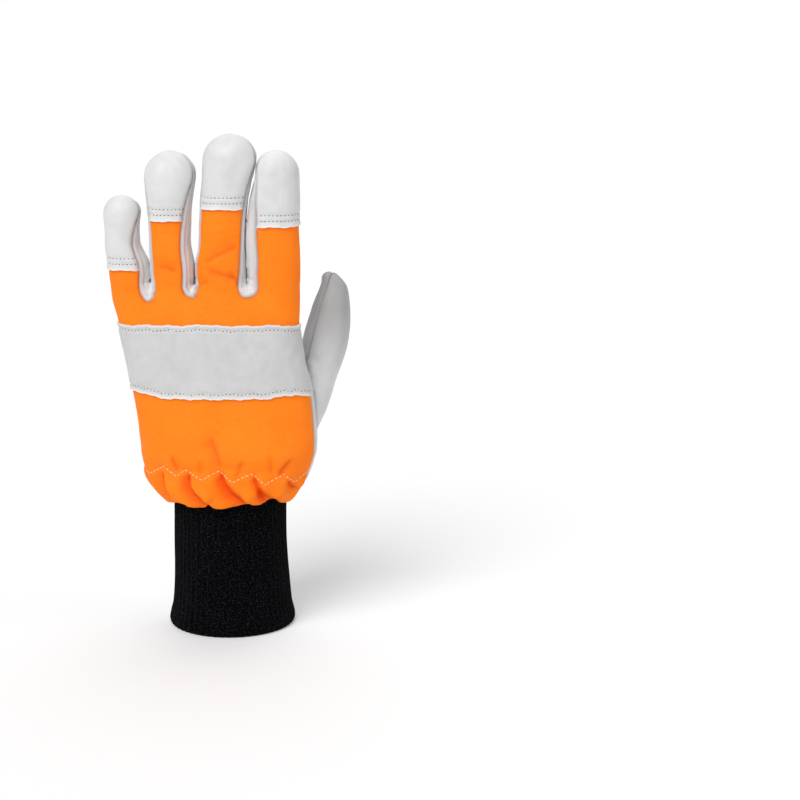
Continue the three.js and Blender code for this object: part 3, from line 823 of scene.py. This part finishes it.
def distanceTo(points, spots):
    if not points:
        return np.full(len(spots), 99.0)
    tree = KDTree(len(points))
    for i, point in enumerate(points):
        tree.insert(point, i)
    tree.balance()
    return np.array([tree.find(spot)[2] for spot in spots])


def roundedDrop(away, width):  # a quarter round: 1 at the edge, 0 from width on
    return 1 - np.sqrt(np.clip(1 - (1 - np.clip(away / width, 0, 1)) ** 2, 0, 1))


def edgeShift(name, spots, sewnAway, hemAway, rawAway, lift, grooves, welt):  # how far each spot moves out
    out = lift * smooth(sewnAway / finish["liftWidth"])
    out = out - finish["seamDrop"] * roundedDrop(sewnAway, finish["seamWidth"])
    out = out - finish["hemDrop"] * roundedDrop(hemAway, finish["hemWidth"])
    if name == "back_panel":  # the cloth lies flat under the caps and the band that are sewn on it
        onCaps = smooth((capField(spots) + 0.4) / 1.2) * (spots[:, 2] > webZ)
        onBand = smooth((np.minimum(bandLowField(spots), bandHighField(spots)) - 0.4) / 1.2)
        out = out - finish["underDrop"] * np.maximum(onCaps, onBand)
    for line in grooves:  # the thread pulls the leather down along each row
        out = out - finish["threadDrop"] * bell(rawAway - line, 0.8)
    out = out + 0.5 * bell(rawAway, 1.4) * smooth((sewnAway - 1) / 3) * (lift > 0)
    return out + welt * (bell(sewnAway - 1.7, 0.9) - 0.9 * bell(sewnAway - 3.5, 0.8))


def sewnPiece(form, name, wall, materials, lift=0, loose=0, grooves=(), welt=0):
    # Takes one piece out of the form, lifts it, rounds its sewn edges down and gives it its wall.
    # loose names the rims that are left as cut, the others are sewn.
    bm = form.copy()
    marks, rims = bm.faces.layers.int["pieces"], bm.verts.layers.int["rims"]
    bmesh.ops.delete(bm, geom=[f for f in bm.faces if not f[marks] & pieceBits[name]], context="FACES")
    largestPart(bm)
    verts = list(bm.verts)
    spots, normals = coordsOf(verts), np.array([v.normal[:] for v in verts])
    rim = [(v.co.copy(), v[rims] & loose) for v in verts if v.is_boundary]
    sewnAway = distanceTo([spot for spot, kind in rim if not kind], spots)
    hemAway = distanceTo([spot for spot, kind in rim if kind & rimHem], spots)
    rawAway = distanceTo([spot for spot, kind in rim if kind & ~rimHem], spots)
    out = edgeShift(name, spots, sewnAway, hemAway, rawAway, lift, grooves, welt)
    spots = spots + normals * out[:, None]
    for vert, spot in zip(verts, spots * mm + np.array(cuffMiddle)):
        vert.co = spot
    obj = meshObject(name, bm)
    mesh = obj.data
    for label, value in (("seamNear", bell(sewnAway, 1.5)), ("rawNear", bell(rawAway, 1.1) * (lift > 0))):
        mesh.attributes.new(label, "FLOAT", "POINT").data.foreach_set("value", value.astype(np.float32))
    turn = turnAt(spots[:, 0], spots[:, 1], np.clip(spots[:, 2], hand["hemZ"], webZ))
    flat = np.stack([turn * finish["clothAround"], spots[:, 2] * mm], 1)
    corners = np.zeros(len(mesh.loops), int)
    mesh.loops.foreach_get("vertex_index", corners)
    mesh.uv_layers.new(name="cloth").data.foreach_set("uv", flat[corners].ravel())
    for material in materials:
        mesh.materials.append(material)
    solid = obj.modifiers.new("wall", "SOLIDIFY")
    solid.thickness, solid.offset = wall * mm, -1
    solid.material_offset_rim = len(materials) - 1
    made = appliedMesh(obj)
    made.polygons.foreach_set("use_smooth", np.ones(len(made.polygons), bool))
    made.set_sharp_from_angle(angle=math.radians(60))
    piece = bpy.data.objects.new(name + "_look", made)
    bpy.context.scene.collection.objects.link(piece)
    for attribute in [a.name for a in made.attributes if a.name in ("pieces", "rims")]:
        made.attributes.remove(made.attributes[attribute])
    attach(piece, "root")
    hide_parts(name)
    return piece


def nodeGroup(name, inputs, outputs):
    group = bpy.data.node_groups.new(name, "ShaderNodeTree")
    for label, kind, value in inputs:
        socket = group.interface.new_socket(label, in_out="INPUT", socket_type=kind)
        if value is not None:
            socket.default_value = value
    for label, kind in outputs:
        group.interface.new_socket(label, in_out="OUTPUT", socket_type=kind)
    return group, group.nodes.new("NodeGroupInput"), group.nodes.new("NodeGroupOutput")


def addNode(tree, kind, settings=None, **links):  # a node, its settings, and its inputs as links or values
    node = tree.nodes.new(kind)
    for key, value in (settings or {}).items():
        setattr(node, key, value)
    for label, value in links.items():
        key = int(label[1:]) if label[0] == "i" and label[1:].isdigit() else label.replace("_", " ")
        if isinstance(value, bpy.types.NodeSocket):
            tree.links.new(value, node.inputs[key])
        else:
            node.inputs[key].default_value = value
    return node


def maths(tree, operation, *values):
    node = tree.nodes.new("ShaderNodeMath")
    node.operation = operation
    for i, value in enumerate(values):
        if isinstance(value, bpy.types.NodeSocket):
            tree.links.new(value, node.inputs[i])
        else:
            node.inputs[i].default_value = value
    return node.outputs[0]


def noiseOf(tree, place, scale, detail, **more):
    node = addNode(tree, "ShaderNodeTexNoise", Vector=place, Scale=scale, Detail=detail, **more)
    return node.outputs["Fac"]


def ranged(tree, value, fromLow, fromHigh, low=0.0, high=1.0):  # carries one span of values over to another
    return addNode(tree, "ShaderNodeMapRange", i0=value, i1=fromLow, i2=fromHigh, i3=low, i4=high).outputs[0]


def added(tree, a, b, ofB=1):  # a + b * ofB
    return maths(tree, "ADD", a, b if ofB == 1 else maths(tree, "MULTIPLY", b, ofB))


def splitVector(tree, vector):
    return addNode(tree, "ShaderNodeSeparateXYZ", i0=vector).outputs


def grainGroup():  # the pebbled face of soft leather
    group, source, result = nodeGroup(
        "softGrain",
        [
            ("Vector", "NodeSocketVector", None),
            ("Grain", "NodeSocketFloat", leatherLook["grain"]),
            ("Crumple", "NodeSocketFloat", leatherLook["crumple"]),
        ],
        [("Height", "NodeSocketFloat"), ("Tone", "NodeSocketFloat")],
    )
    place, size = source.outputs["Vector"], source.outputs["Grain"]
    cells = addNode(group, "ShaderNodeTexVoronoi", {"feature": "SMOOTH_F1"}, Vector=place, Scale=size)
    crumple = noiseOf(group, place, source.outputs["Crumple"], 4, Roughness=0.55)
    blotch = noiseOf(group, place, 42, 3)
    pebble = maths(group, "MULTIPLY", cells.outputs["Distance"], 0.22)
    pebble = added(group, pebble, noiseOf(group, place, 2400, 3), 0.1)
    group.links.new(added(group, pebble, crumple), result.inputs["Height"])
    group.links.new(maths(group, "MULTIPLY", added(group, blotch, crumple), 0.5), result.inputs["Tone"])
    return group


def weaveGroup():  # crossing threads, from a map in metres
    group, source, result = nodeGroup(
        "plainWeave",
        [("Vector", "NodeSocketVector", None), ("Threads", "NodeSocketFloat", clothLook["threads"])],
        [("Height", "NodeSocketFloat"), ("Tone", "NodeSocketFloat")],
    )
    parts = splitVector(group, source.outputs["Vector"])
    turns = maths(group, "MULTIPLY", source.outputs["Threads"], 2 * math.pi)
    across = maths(group, "SINE", maths(group, "MULTIPLY", parts["X"], turns))
    along = maths(group, "SINE", maths(group, "MULTIPLY", parts["Y"], turns))
    slub = noiseOf(group, source.outputs["Vector"], 520, 2)
    crossed = maths(group, "MULTIPLY", maths(group, "MULTIPLY", across, along), 0.5)
    group.links.new(added(group, crossed, slub), result.inputs["Height"])
    group.links.new(slub, result.inputs["Tone"])
    return group


def knitGroup():  # small V stitches in columns, from a map of (column, course)
    group, source, result = nodeGroup(
        "knitStitches",
        [("Vector", "NodeSocketVector", None)],
        [("Height", "NodeSocketFloat"), ("Fleck", "NodeSocketFloat")],
    )
    parts = splitVector(group, source.outputs["Vector"])
    column = maths(group, "SUBTRACT", maths(group, "FRACT", parts["X"]), 0.5)
    column = maths(group, "ABSOLUTE", column)
    slanted = added(group, parts["Y"], column, 1.3)
    loops = maths(group, "SINE", maths(group, "MULTIPLY", slanted, 2 * math.pi))
    ridge = maths(group, "COSINE", maths(group, "MULTIPLY", column, 2 * math.pi))
    fuzz = noiseOf(group, source.outputs["Vector"], 1.4, 4, Roughness=0.7)
    height = added(group, maths(group, "MULTIPLY", loops, 0.35), ridge, -0.3)
    fleck = maths(group, "MULTIPLY", ranged(group, fuzz, 0.5, 0.66), ranged(group, loops, 0.1, 0.8))
    group.links.new(added(group, height, fuzz, 0.8), result.inputs["Height"])
    group.links.new(fleck, result.inputs["Fleck"])
    return group


def newMaterial(name):
    material = bpy.data.materials.new(name)
    material.use_nodes = True
    tree = material.node_tree
    return material, tree, tree.nodes["Principled BSDF"]


def mixColours(tree, share, a, b):
    node = tree.nodes.new("ShaderNodeMix")
    node.data_type = "RGBA"
    tree.links.new(share, node.inputs["Factor"])
    for socket, value in ((node.inputs[6], a), (node.inputs[7], b)):
        if isinstance(value, bpy.types.NodeSocket):
            tree.links.new(value, socket)
        else:
            socket.default_value = (*value, 1)
    return node.outputs[2]


def objectPlace(tree):
    return tree.nodes.new("ShaderNodeTexCoord").outputs["Object"]


def attributeOf(tree, name):
    return addNode(tree, "ShaderNodeAttribute", {"attribute_name": name}).outputs["Fac"]


def finishShader(tree, shader, colour, bump, **values):  # bump is its strength, its distance and its height
    tree.links.new(colour, shader.inputs["Base Color"])
    strength, distance, height = bump
    bumped = addNode(tree, "ShaderNodeBump", Strength=strength, Distance=distance, Height=height)
    tree.links.new(bumped.outputs["Normal"], shader.inputs["Normal"])
    for label, value in values.items():
        shader.inputs[label.replace("_", " ")].default_value = value


leatherLook = {
    "light": (0.78, 0.78, 0.78),
    "shade": (0.69, 0.69, 0.695),
    # seam: painted shade along the grooves of the sewn seams
    "seam": (0.42, 0.42, 0.42),
    "raw": (0.88, 0.88, 0.87),
    "grain": 1050,
    "crumple": 170,
    "depth": 0.0002,
    "cut": (0.62, 0.61, 0.6),
    # painted shade: the grey that the thumb's leather is painted towards its top, where the thumb turns from
    # the light
    "paintedShade": (0.36, 0.35, 0.355),
    "paintedShadeBetween": (0.15, 0.195),  # the heights between which painted shade greys the thumb's leather
    "thumbPaintedShade": 0.8,
    "band": 0.86,  # painted shade: the band's leather is a darker copy of the white leather
}


def leatherMaterial(grain, name, tone, paintedShade=0):  # the last argument is how much painted shade greys the leather higher up
    material, tree, shader = newMaterial(name)
    look = leatherLook
    light, shade = ([tone * part for part in look[key]] for key in ("light", "shade"))
    place = objectPlace(tree)
    sizes = {"Grain": look["grain"], "Crumple": look["crumple"]}
    face = addNode(tree, "ShaderNodeGroup", {"node_tree": grain}, Vector=place, **sizes).outputs
    colour = mixColours(tree, ranged(tree, face["Tone"], 0.35, 0.65), shade, light)
    # painted shade: the leather greys towards the top
    if paintedShade:
        higher = ranged(tree, splitVector(tree, place)["Z"], *look["paintedShadeBetween"], high=paintedShade)
        colour = mixColours(tree, higher, colour, look["paintedShade"])
    # painted shade along the grooves of the sewn seams
    seam = attributeOf(tree, "seamNear")
    colour = mixColours(tree, maths(tree, "MULTIPLY", seam, 0.6), colour, look["seam"])
    colour = mixColours(tree, attributeOf(tree, "rawNear"), colour, look["raw"])
    tree.links.new(ranged(tree, face["Tone"], 0.3, 0.7, 0.56, 0.42), shader.inputs["Roughness"])
    pucker = maths(tree, "MULTIPLY", noiseOf(tree, place, 700, 1), seam)
    height = added(tree, face["Height"], pucker, 1.4)
    finishShader(tree, shader, colour, (0.55, look["depth"], height), Specular_IOR_Level=0.42)
    return material


def rawEdgeMaterial():
    material, tree, shader = newMaterial("leatherCutEdge")
    fluff = noiseOf(tree, objectPlace(tree), 1900, 4, Roughness=0.7)
    colour = mixColours(tree, fluff, leatherLook["cut"], leatherLook["raw"])
    finishShader(tree, shader, colour, (0.8, 0.0003, fluff), Roughness=0.95)
    return material


clothLook = {
    "light": (0.97, 0.225, 0.01),
    "shade": (0.93, 0.19, 0.006),
    # seam: painted shade along the grooves of the sewn seams
    "seam": (0.6, 0.085, 0.002),
    # fold: painted shade in the creases and gathers
    "fold": (0.66, 0.058, 0.0015),
    # glow: emission, painted light that keeps the cloth's shaded parts bright orange
    "glow": 0.2,
    "threads": 1700,  # to a metre
}
knitLook = {"yarn": (0.0008, 0.0008, 0.0011), "fleck": (0.044, 0.052, 0.064)}
threadLooks = {
    "white": ((0.7, 0.7, 0.68), (0.9, 0.9, 0.88)),
    "warm": ((1, 0.62, 0.32), (1, 0.82, 0.6)),
    # hole: dark blobs, painted shade inside the needle holes
    "holeShade": ((0.03, 0.03, 0.03), (0.09, 0.09, 0.09)),
}


def clothMaterial(weave):
    material, tree, shader = newMaterial("orangeCloth")
    look = clothLook
    flat = addNode(tree, "ShaderNodeUVMap", {"uv_map": "cloth"}).outputs["UV"]
    sizes = {"Threads": look["threads"]}
    face = addNode(tree, "ShaderNodeGroup", {"node_tree": weave}, Vector=flat, **sizes).outputs
    broad = noiseOf(tree, objectPlace(tree), 55, 3)
    tone = maths(tree, "MULTIPLY", added(tree, face["Tone"], broad), 0.5)
    colour = mixColours(tree, ranged(tree, tone, 0.36, 0.64), look["shade"], look["light"])
    # painted shade: darker along the sewn seams and in the creases and gathers
    for attribute, strength, key in (("seamNear", 0.5, "seam"), ("fold", 0.9, "fold")):
        share = maths(tree, "MULTIPLY", attributeOf(tree, attribute), strength)
        colour = mixColours(tree, share, colour, look[key])
    tree.links.new(colour, shader.inputs["Emission Color"])
    shader.inputs["Emission Strength"].default_value = look["glow"]
    bump = (0.35, 0.00012, face["Height"])
    finishShader(tree, shader, colour, bump, Roughness=0.75, Specular_IOR_Level=0.18)
    return material


def knitMaterial(knit):
    material, tree, shader = newMaterial("blackKnit")
    flat = addNode(tree, "ShaderNodeUVMap", {"uv_map": "knit"}).outputs["UV"]
    face = addNode(tree, "ShaderNodeGroup", {"node_tree": knit}, Vector=flat).outputs
    colour = mixColours(tree, face["Fleck"], knitLook["yarn"], knitLook["fleck"])
    bump = (0.7, 0.0004, face["Height"])
    finishShader(tree, shader, colour, bump, Roughness=0.95, Sheen_Weight=0.012, Specular_IOR_Level=0.03)
    return material


def threadMaterial(name, low, high):
    material, tree, shader = newMaterial(name)
    twist = noiseOf(tree, objectPlace(tree), 2600, 2)
    finishShader(tree, shader, mixColours(tree, twist, low, high), (0.6, 0.0001, twist), Roughness=0.6)
    return material


cuff = {
    "height": 88,
    "halfWidth": 34.8,
    "halfDepth": 32,
    "aside": 0.9,
    "flare": 4.6,
    "ribs": 56,
    "columns": 2,  # columns of stitches to a rib
    "ribDepth": 0.5,
    "wall": 2.4,
    "course": 1.3,  # height of one row of knit stitches
}
cuffSections = rowsOf(
    "z spread",
    (0, 0.8), (3, 1), (7, 0.86), (13, 0.55), (26, 0.3), (44, 0.1), (66, 0.02), (88, 0),
)


def smoothPiece(name, bm, material):
    for face in bm.faces:
        face.smooth = True
    piece = meshObject(name, bm)
    piece.data.materials.append(material)
    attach(piece, "root")
    return piece


def cuffMesh(material):
    spreadAt = curveThrough(cuffSections, "z", "spread")
    rollRadius = cuff["wall"] / 2
    outside, under, inside = 74, 8, 40  # rings of the outer face, the lower rim and the inner face
    path = [(mix(cuff["height"], rollRadius, i / outside), 0, 1) for i in range(outside)]
    for i in range(under + 1):
        angle = math.pi * i / under
        z, inward = rollRadius * (1 - math.sin(angle)), rollRadius * (1 - math.cos(angle))
        path.append((z, inward, math.cos(angle / 2) ** 2))
    path += [(mix(rollRadius, cuff["height"], i / inside), cuff["wall"], 0) for i in range(1, inside + 1)]
    height, inset, ribbed = (np.array(column) for column in zip(*path))
    rings = np.arange(len(path))

    def place(turn, row):
        z, inward, rib = (np.interp(row, rings, column) for column in (height, inset, ribbed))
        wave = (0.5 - 0.5 * np.cos(turn * cuff["ribs"] * 2 * math.pi)) ** 0.8
        grow = spreadAt(z) * cuff["flare"] - inward - cuff["ribDepth"] * wave * rib
        turnBy = turn * 2 * math.pi
        sway = 0.35 * np.sin(3 * turnBy + z / 13) * np.sin(z / 28)
        x = (cuff["halfWidth"] + grow + sway) * np.cos(turnBy) + cuff["aside"]
        y = (cuff["halfDepth"] + grow + sway) * np.sin(turnBy)
        return np.stack([x, y, z], 1)

    bm = bmesh.new()
    bmesh.ops.create_grid(bm, x_segments=cuff["ribs"] * 6, y_segments=len(path) - 1, size=1)
    share = (np.array([v.co for v in bm.verts]) + 1) / 2
    row = share[:, 1] * (len(path) - 1)
    course = np.interp(row, rings, height) / cuff["course"]
    flat = np.stack([share[:, 0] * cuff["ribs"] * cuff["columns"], course], 1)
    knitMap = bm.loops.layers.uv.new("knit")
    for face in bm.faces:
        for loop in face.loops:
            loop[knitMap].uv = flat[loop.vert.index]
    for vert, spot in zip(bm.verts, place(share[:, 0], row)):
        vert.co = Vector(spot) * mm + cuffMiddle
    bmesh.ops.remove_doubles(bm, verts=bm.verts, dist=0.000002)
    bmesh.ops.bridge_loops(bm, edges=[e for e in bm.edges if e.is_boundary])
    bmesh.ops.recalc_face_normals(bm, faces=bm.faces)
    piece = smoothPiece("knit_cuff_look", bm, material)
    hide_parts("knit_cuff")


def surfaceTree(pieces):
    whole = bmesh.new()
    for piece in pieces:
        whole.from_mesh(piece.data)
    return BVHTree.FromBMesh(whole)


def firstHit(tree, start, toward):
    spot, normal, _, _ = tree.ray_cast(start, toward)
    return (spot, normal) if spot else None


def seenFromBack(tree, x, z):  # the first surface behind a point of the back
    return firstHit(tree, Vector((x * mm, -0.3, z * mm)) + Vector((cuffMiddle.x, 0, 0)), Vector((0, 1, 0)))


def walkedRow(hits):  # each spot on the surface with its normal and the length walked so far
    found, walked = [], 0
    for hit in hits:
        if hit:
            if found:
                walked += (hit[0] - found[-1][0]).length
            found.append((*hit, walked))
    return found


def stitchRow(tree, guide):  # guide is a list of (x, z) on the back
    return walkedRow([seenFromBack(tree, x, z) for x, z in guide])


def aroundPalm(tree):  # the zig-zag row where it leaves the back, from the thumb's side round to the other
    hits = []
    level = hand["hemZ"] + 23
    for turn in np.linspace(-0.06, 0.512, 620):
        x, y = ovalXY(np.array([turn]), *handReach(level))
        z = elasticZ(np.array([[x[0], y[0], level]]))[0]
        inward = Vector((-x[0], -y[0], 0)).normalized()
        hits.append(firstHit(tree, (Vector((x[0], y[0], z)) - inward * 14) * mm + cuffMiddle, inward))
    return walkedRow(hits)


def addBlob(bm, spot, turned, size, levels):  # a ball drawn out to size along the axes of turned
    matrix = Matrix.Translation(spot) @ turned @ Matrix.Diagonal((*size, 1))
    bmesh.ops.create_uvsphere(bm, u_segments=8, v_segments=levels, radius=1, matrix=matrix)


def placeStitches(bm, holeShades, row, pitch, length, thick):
    # Threads along a row, and between each and the next a dark blob, painted shade for a needle hole.
    # Lengths are metres.
    margin, sink = 0.0008, 0.25  # how far a row stays from its ends, and how deep a thread lies
    if len(row) < 3:
        return
    at, index = margin + pitch / 2, 0
    while at < row[-1][2] - margin:
        while index + 1 < len(row) and row[index + 1][2] < at:
            index += 1
        if index + 1 >= len(row):
            break
        (a, normal, low), (b, _, high) = row[index], row[index + 1]
        spot = a.lerp(b, (at - low) / max(high - low, 1e-9))
        ahead = (b - a).normalized()
        side = normal.cross(ahead).normalized()
        turned = Matrix((ahead, side, normal)).transposed().to_4x4()
        lifted = spot + normal * thick * (0.5 - sink) * 0.5
        addBlob(bm, lifted, turned, (length / 2, thick / 2, thick / 2), 6)
        if holeShades is not None:
            addBlob(holeShades, spot + ahead * pitch / 2, turned, (thick * 0.85, thick * 0.45, thick * 0.28), 4)
        at += pitch


walls = {"back": 1.3, "palm": 1.2, "band": 1, "thumb": 1.2, "cap": 1, "strip": 1.2}
capRows, bandRow = (3.7, 7.1), 3  # how far the rows of stitches lie from the cut edges
seamThread = {"pitch": 0.0024, "length": 0.0016, "thick": 0.0006}
elasticThread = {"pitch": 0.003, "length": 0.0023, "thick": 0.00052}

form, handTree, thumbTree = gloveForm()
print("glove: form made,", len(form.faces), "faces")
cutForm(form)
print("glove: seams cut,", len(form.faces), "faces")

grain, weave, knit = grainGroup(), weaveGroup(), knitGroup()
leather = leatherMaterial(grain, "whiteLeather", 1)
shadedBandLeather = leatherMaterial(grain, "shadedBandLeather", leatherLook["band"])
thumbLeather = leatherMaterial(grain, "thumbLeather", 1, leatherLook["thumbPaintedShade"])
rawEdge, cloth, blackKnit = rawEdgeMaterial(), clothMaterial(weave), knitMaterial(knit)
whiteThread = threadMaterial("whiteThread", *threadLooks["white"])
warmThread = threadMaterial("warmThread", *threadLooks["warm"])
needleShade = threadMaterial("needleHoleShade", *threadLooks["holeShade"])

back = sewnPiece(form, "back_panel", walls["back"], [cloth], loose=rimHem | rimLap)
palm = sewnPiece(form, "palm_panel", walls["palm"], [leather, rawEdge], loose=rimHem)
band = sewnPiece(
    form, "knuckle_band", walls["band"], [shadedBandLeather, rawEdge],
    lift=finish["bandLift"], loose=rimBand, grooves=(bandRow,),
)
for name in ("thumb_back", "thumb_palm"):
    sewnPiece(form, name, walls["thumb"], [thumbLeather, rawEdge])
caps = [
    sewnPiece(
        form, "cap_" + finger["name"], walls["cap"], [leather, rawEdge],
        lift=finish["capLift"], loose=rimCap, grooves=capRows,
    )
    for finger in fingers
]
for right, left in fingerPairs:
    sewnPiece(form, stripName(right, left), walls["strip"], [leather, rawEdge], welt=0.5)
cuffMesh(blackKnit)
print("glove: panels sewn")

threads, elasticThreads, holeShades = bmesh.new(), bmesh.new(), bmesh.new()
for finger, cap in zip(fingers, caps):
    tree = surfaceTree([cap])
    edgeZ = finger["tipZ"] - finger["cap"]
    xs = np.arange(finger["rootX"] - 30, finger["rootX"] + 30, 0.4)
    for above in capRows:
        placeStitches(threads, holeShades, stitchRow(tree, [(x, edgeZ + above) for x in xs]), **seamThread)
tree = surfaceTree([band])
for shift in (-bandRow, bandRow):
    guide = []
    for x in np.arange(-72, 56, 0.5):
        point = np.array([[x, 0.0, 0.0]])
        edgeZ = -bandLowField(point)[0] if shift > 0 else bandHighField(point)[0]
        guide.append((x, edgeZ + shift))
    placeStitches(threads, holeShades, stitchRow(tree, guide), **seamThread)
guide = []
for a, b in zip(zigZag[:-1], zigZag[1:]):
    for t in np.linspace(0, 1, 24, endpoint=False):
        guide.append((mix(a["x"], b["x"], t), mix(a["z"], b["z"], t)))
for row in (stitchRow(surfaceTree([back]), guide), aroundPalm(surfaceTree([back, palm]))):
    placeStitches(elasticThreads, None, row, **elasticThread)
smoothPiece("stitching", threads, whiteThread)
smoothPiece("elastic_stitching", elasticThreads, warmThread)
# painted shade: dark blobs where the needle holes are
smoothPiece("needle_hole_shade", holeShades, needleShade)
print("glove: stitches placed")


def makeStage():
    stage = {"floorWhite": 0.8, "floorGlow": 0.14, "floorBounce": 0.05, "worldSeen": 1.0, "worldLight": 0.2}
    white = (1, 1, 1, 1)
    bm = bmesh.new()
    bmesh.ops.create_grid(bm, x_segments=1, y_segments=1, size=20)
    floor = meshObject("floor", bm)
    material, tree, shader = newMaterial("paleFloor")
    shader.inputs["Base Color"].default_value = (stage["floorWhite"],) * 3 + (1,)
    shader.inputs["Roughness"].default_value = 0.8
    shader.inputs["Emission Color"].default_value = white
    seen = tree.nodes.new("ShaderNodeLightPath").outputs["Is Camera Ray"]
    glow = ranged(tree, seen, 0.0, 1.0, stage["floorBounce"], stage["floorGlow"])
    tree.links.new(glow, shader.inputs["Emission Strength"])
    floor.data.materials.append(material)
    world = bpy.data.worlds.new("studio")
    bpy.context.scene.world = world
    world.use_nodes = True
    tree = world.node_tree
    shown, lighting = tree.nodes["Background"], tree.nodes.new("ShaderNodeBackground")
    for background, strength in ((shown, stage["worldSeen"]), (lighting, stage["worldLight"])):
        background.inputs["Color"].default_value = white
        background.inputs["Strength"].default_value = strength
    both = tree.nodes.new("ShaderNodeMixShader")
    tree.links.new(tree.nodes.new("ShaderNodeLightPath").outputs["Is Camera Ray"], both.inputs[0])
    tree.links.new(lighting.outputs[0], both.inputs[1])
    tree.links.new(shown.outputs[0], both.inputs[2])
    tree.links.new(both.outputs[0], tree.nodes["World Output"].inputs["Surface"])


def sunLight(name, around, up, power, softness):  # around is 0 at the camera and 90 on the thumb's side
    light = bpy.data.lights.new(name, "SUN")
    light.energy, light.angle = power, math.radians(softness)
    lamp = bpy.data.objects.new(name, light)
    turnBy, rise = math.radians(around), math.radians(up)
    toward = Vector((math.sin(turnBy) * math.cos(rise), -math.cos(turnBy) * math.cos(rise), math.sin(rise)))
    lamp.rotation_euler = toward.to_track_quat("Z", "Y").to_euler()
    bpy.context.scene.collection.objects.link(lamp)


lights = rowsOf(
    "name around up power softness",
    ("key", -30, 50, 2.3, 40),
    ("side", 80, 30, 0.4, 50),
    ("behind", 172, 54, 1.1, 60),
)
camera = {"distance": 1.2, "height": 0.42, "aside": 0.106477, "lens": 90, "pitch": 13.041}


def makeCamera():
    lens = bpy.data.cameras.new("view")
    lens.lens, lens.sensor_width = camera["lens"], 36
    shot = bpy.data.objects.new("view", lens)
    shot.location = (camera["aside"] + cuffMiddle.x, cuffMiddle.y - camera["distance"], camera["height"])
    shot.rotation_euler = (math.radians(90 - camera["pitch"]), 0, 0)
    bpy.context.scene.collection.objects.link(shot)
    bpy.context.scene.camera = shot


makeStage()
for light in lights:
    sunLight(**light)
makeCamera()
bpy.context.scene.view_settings.view_transform = "Standard"
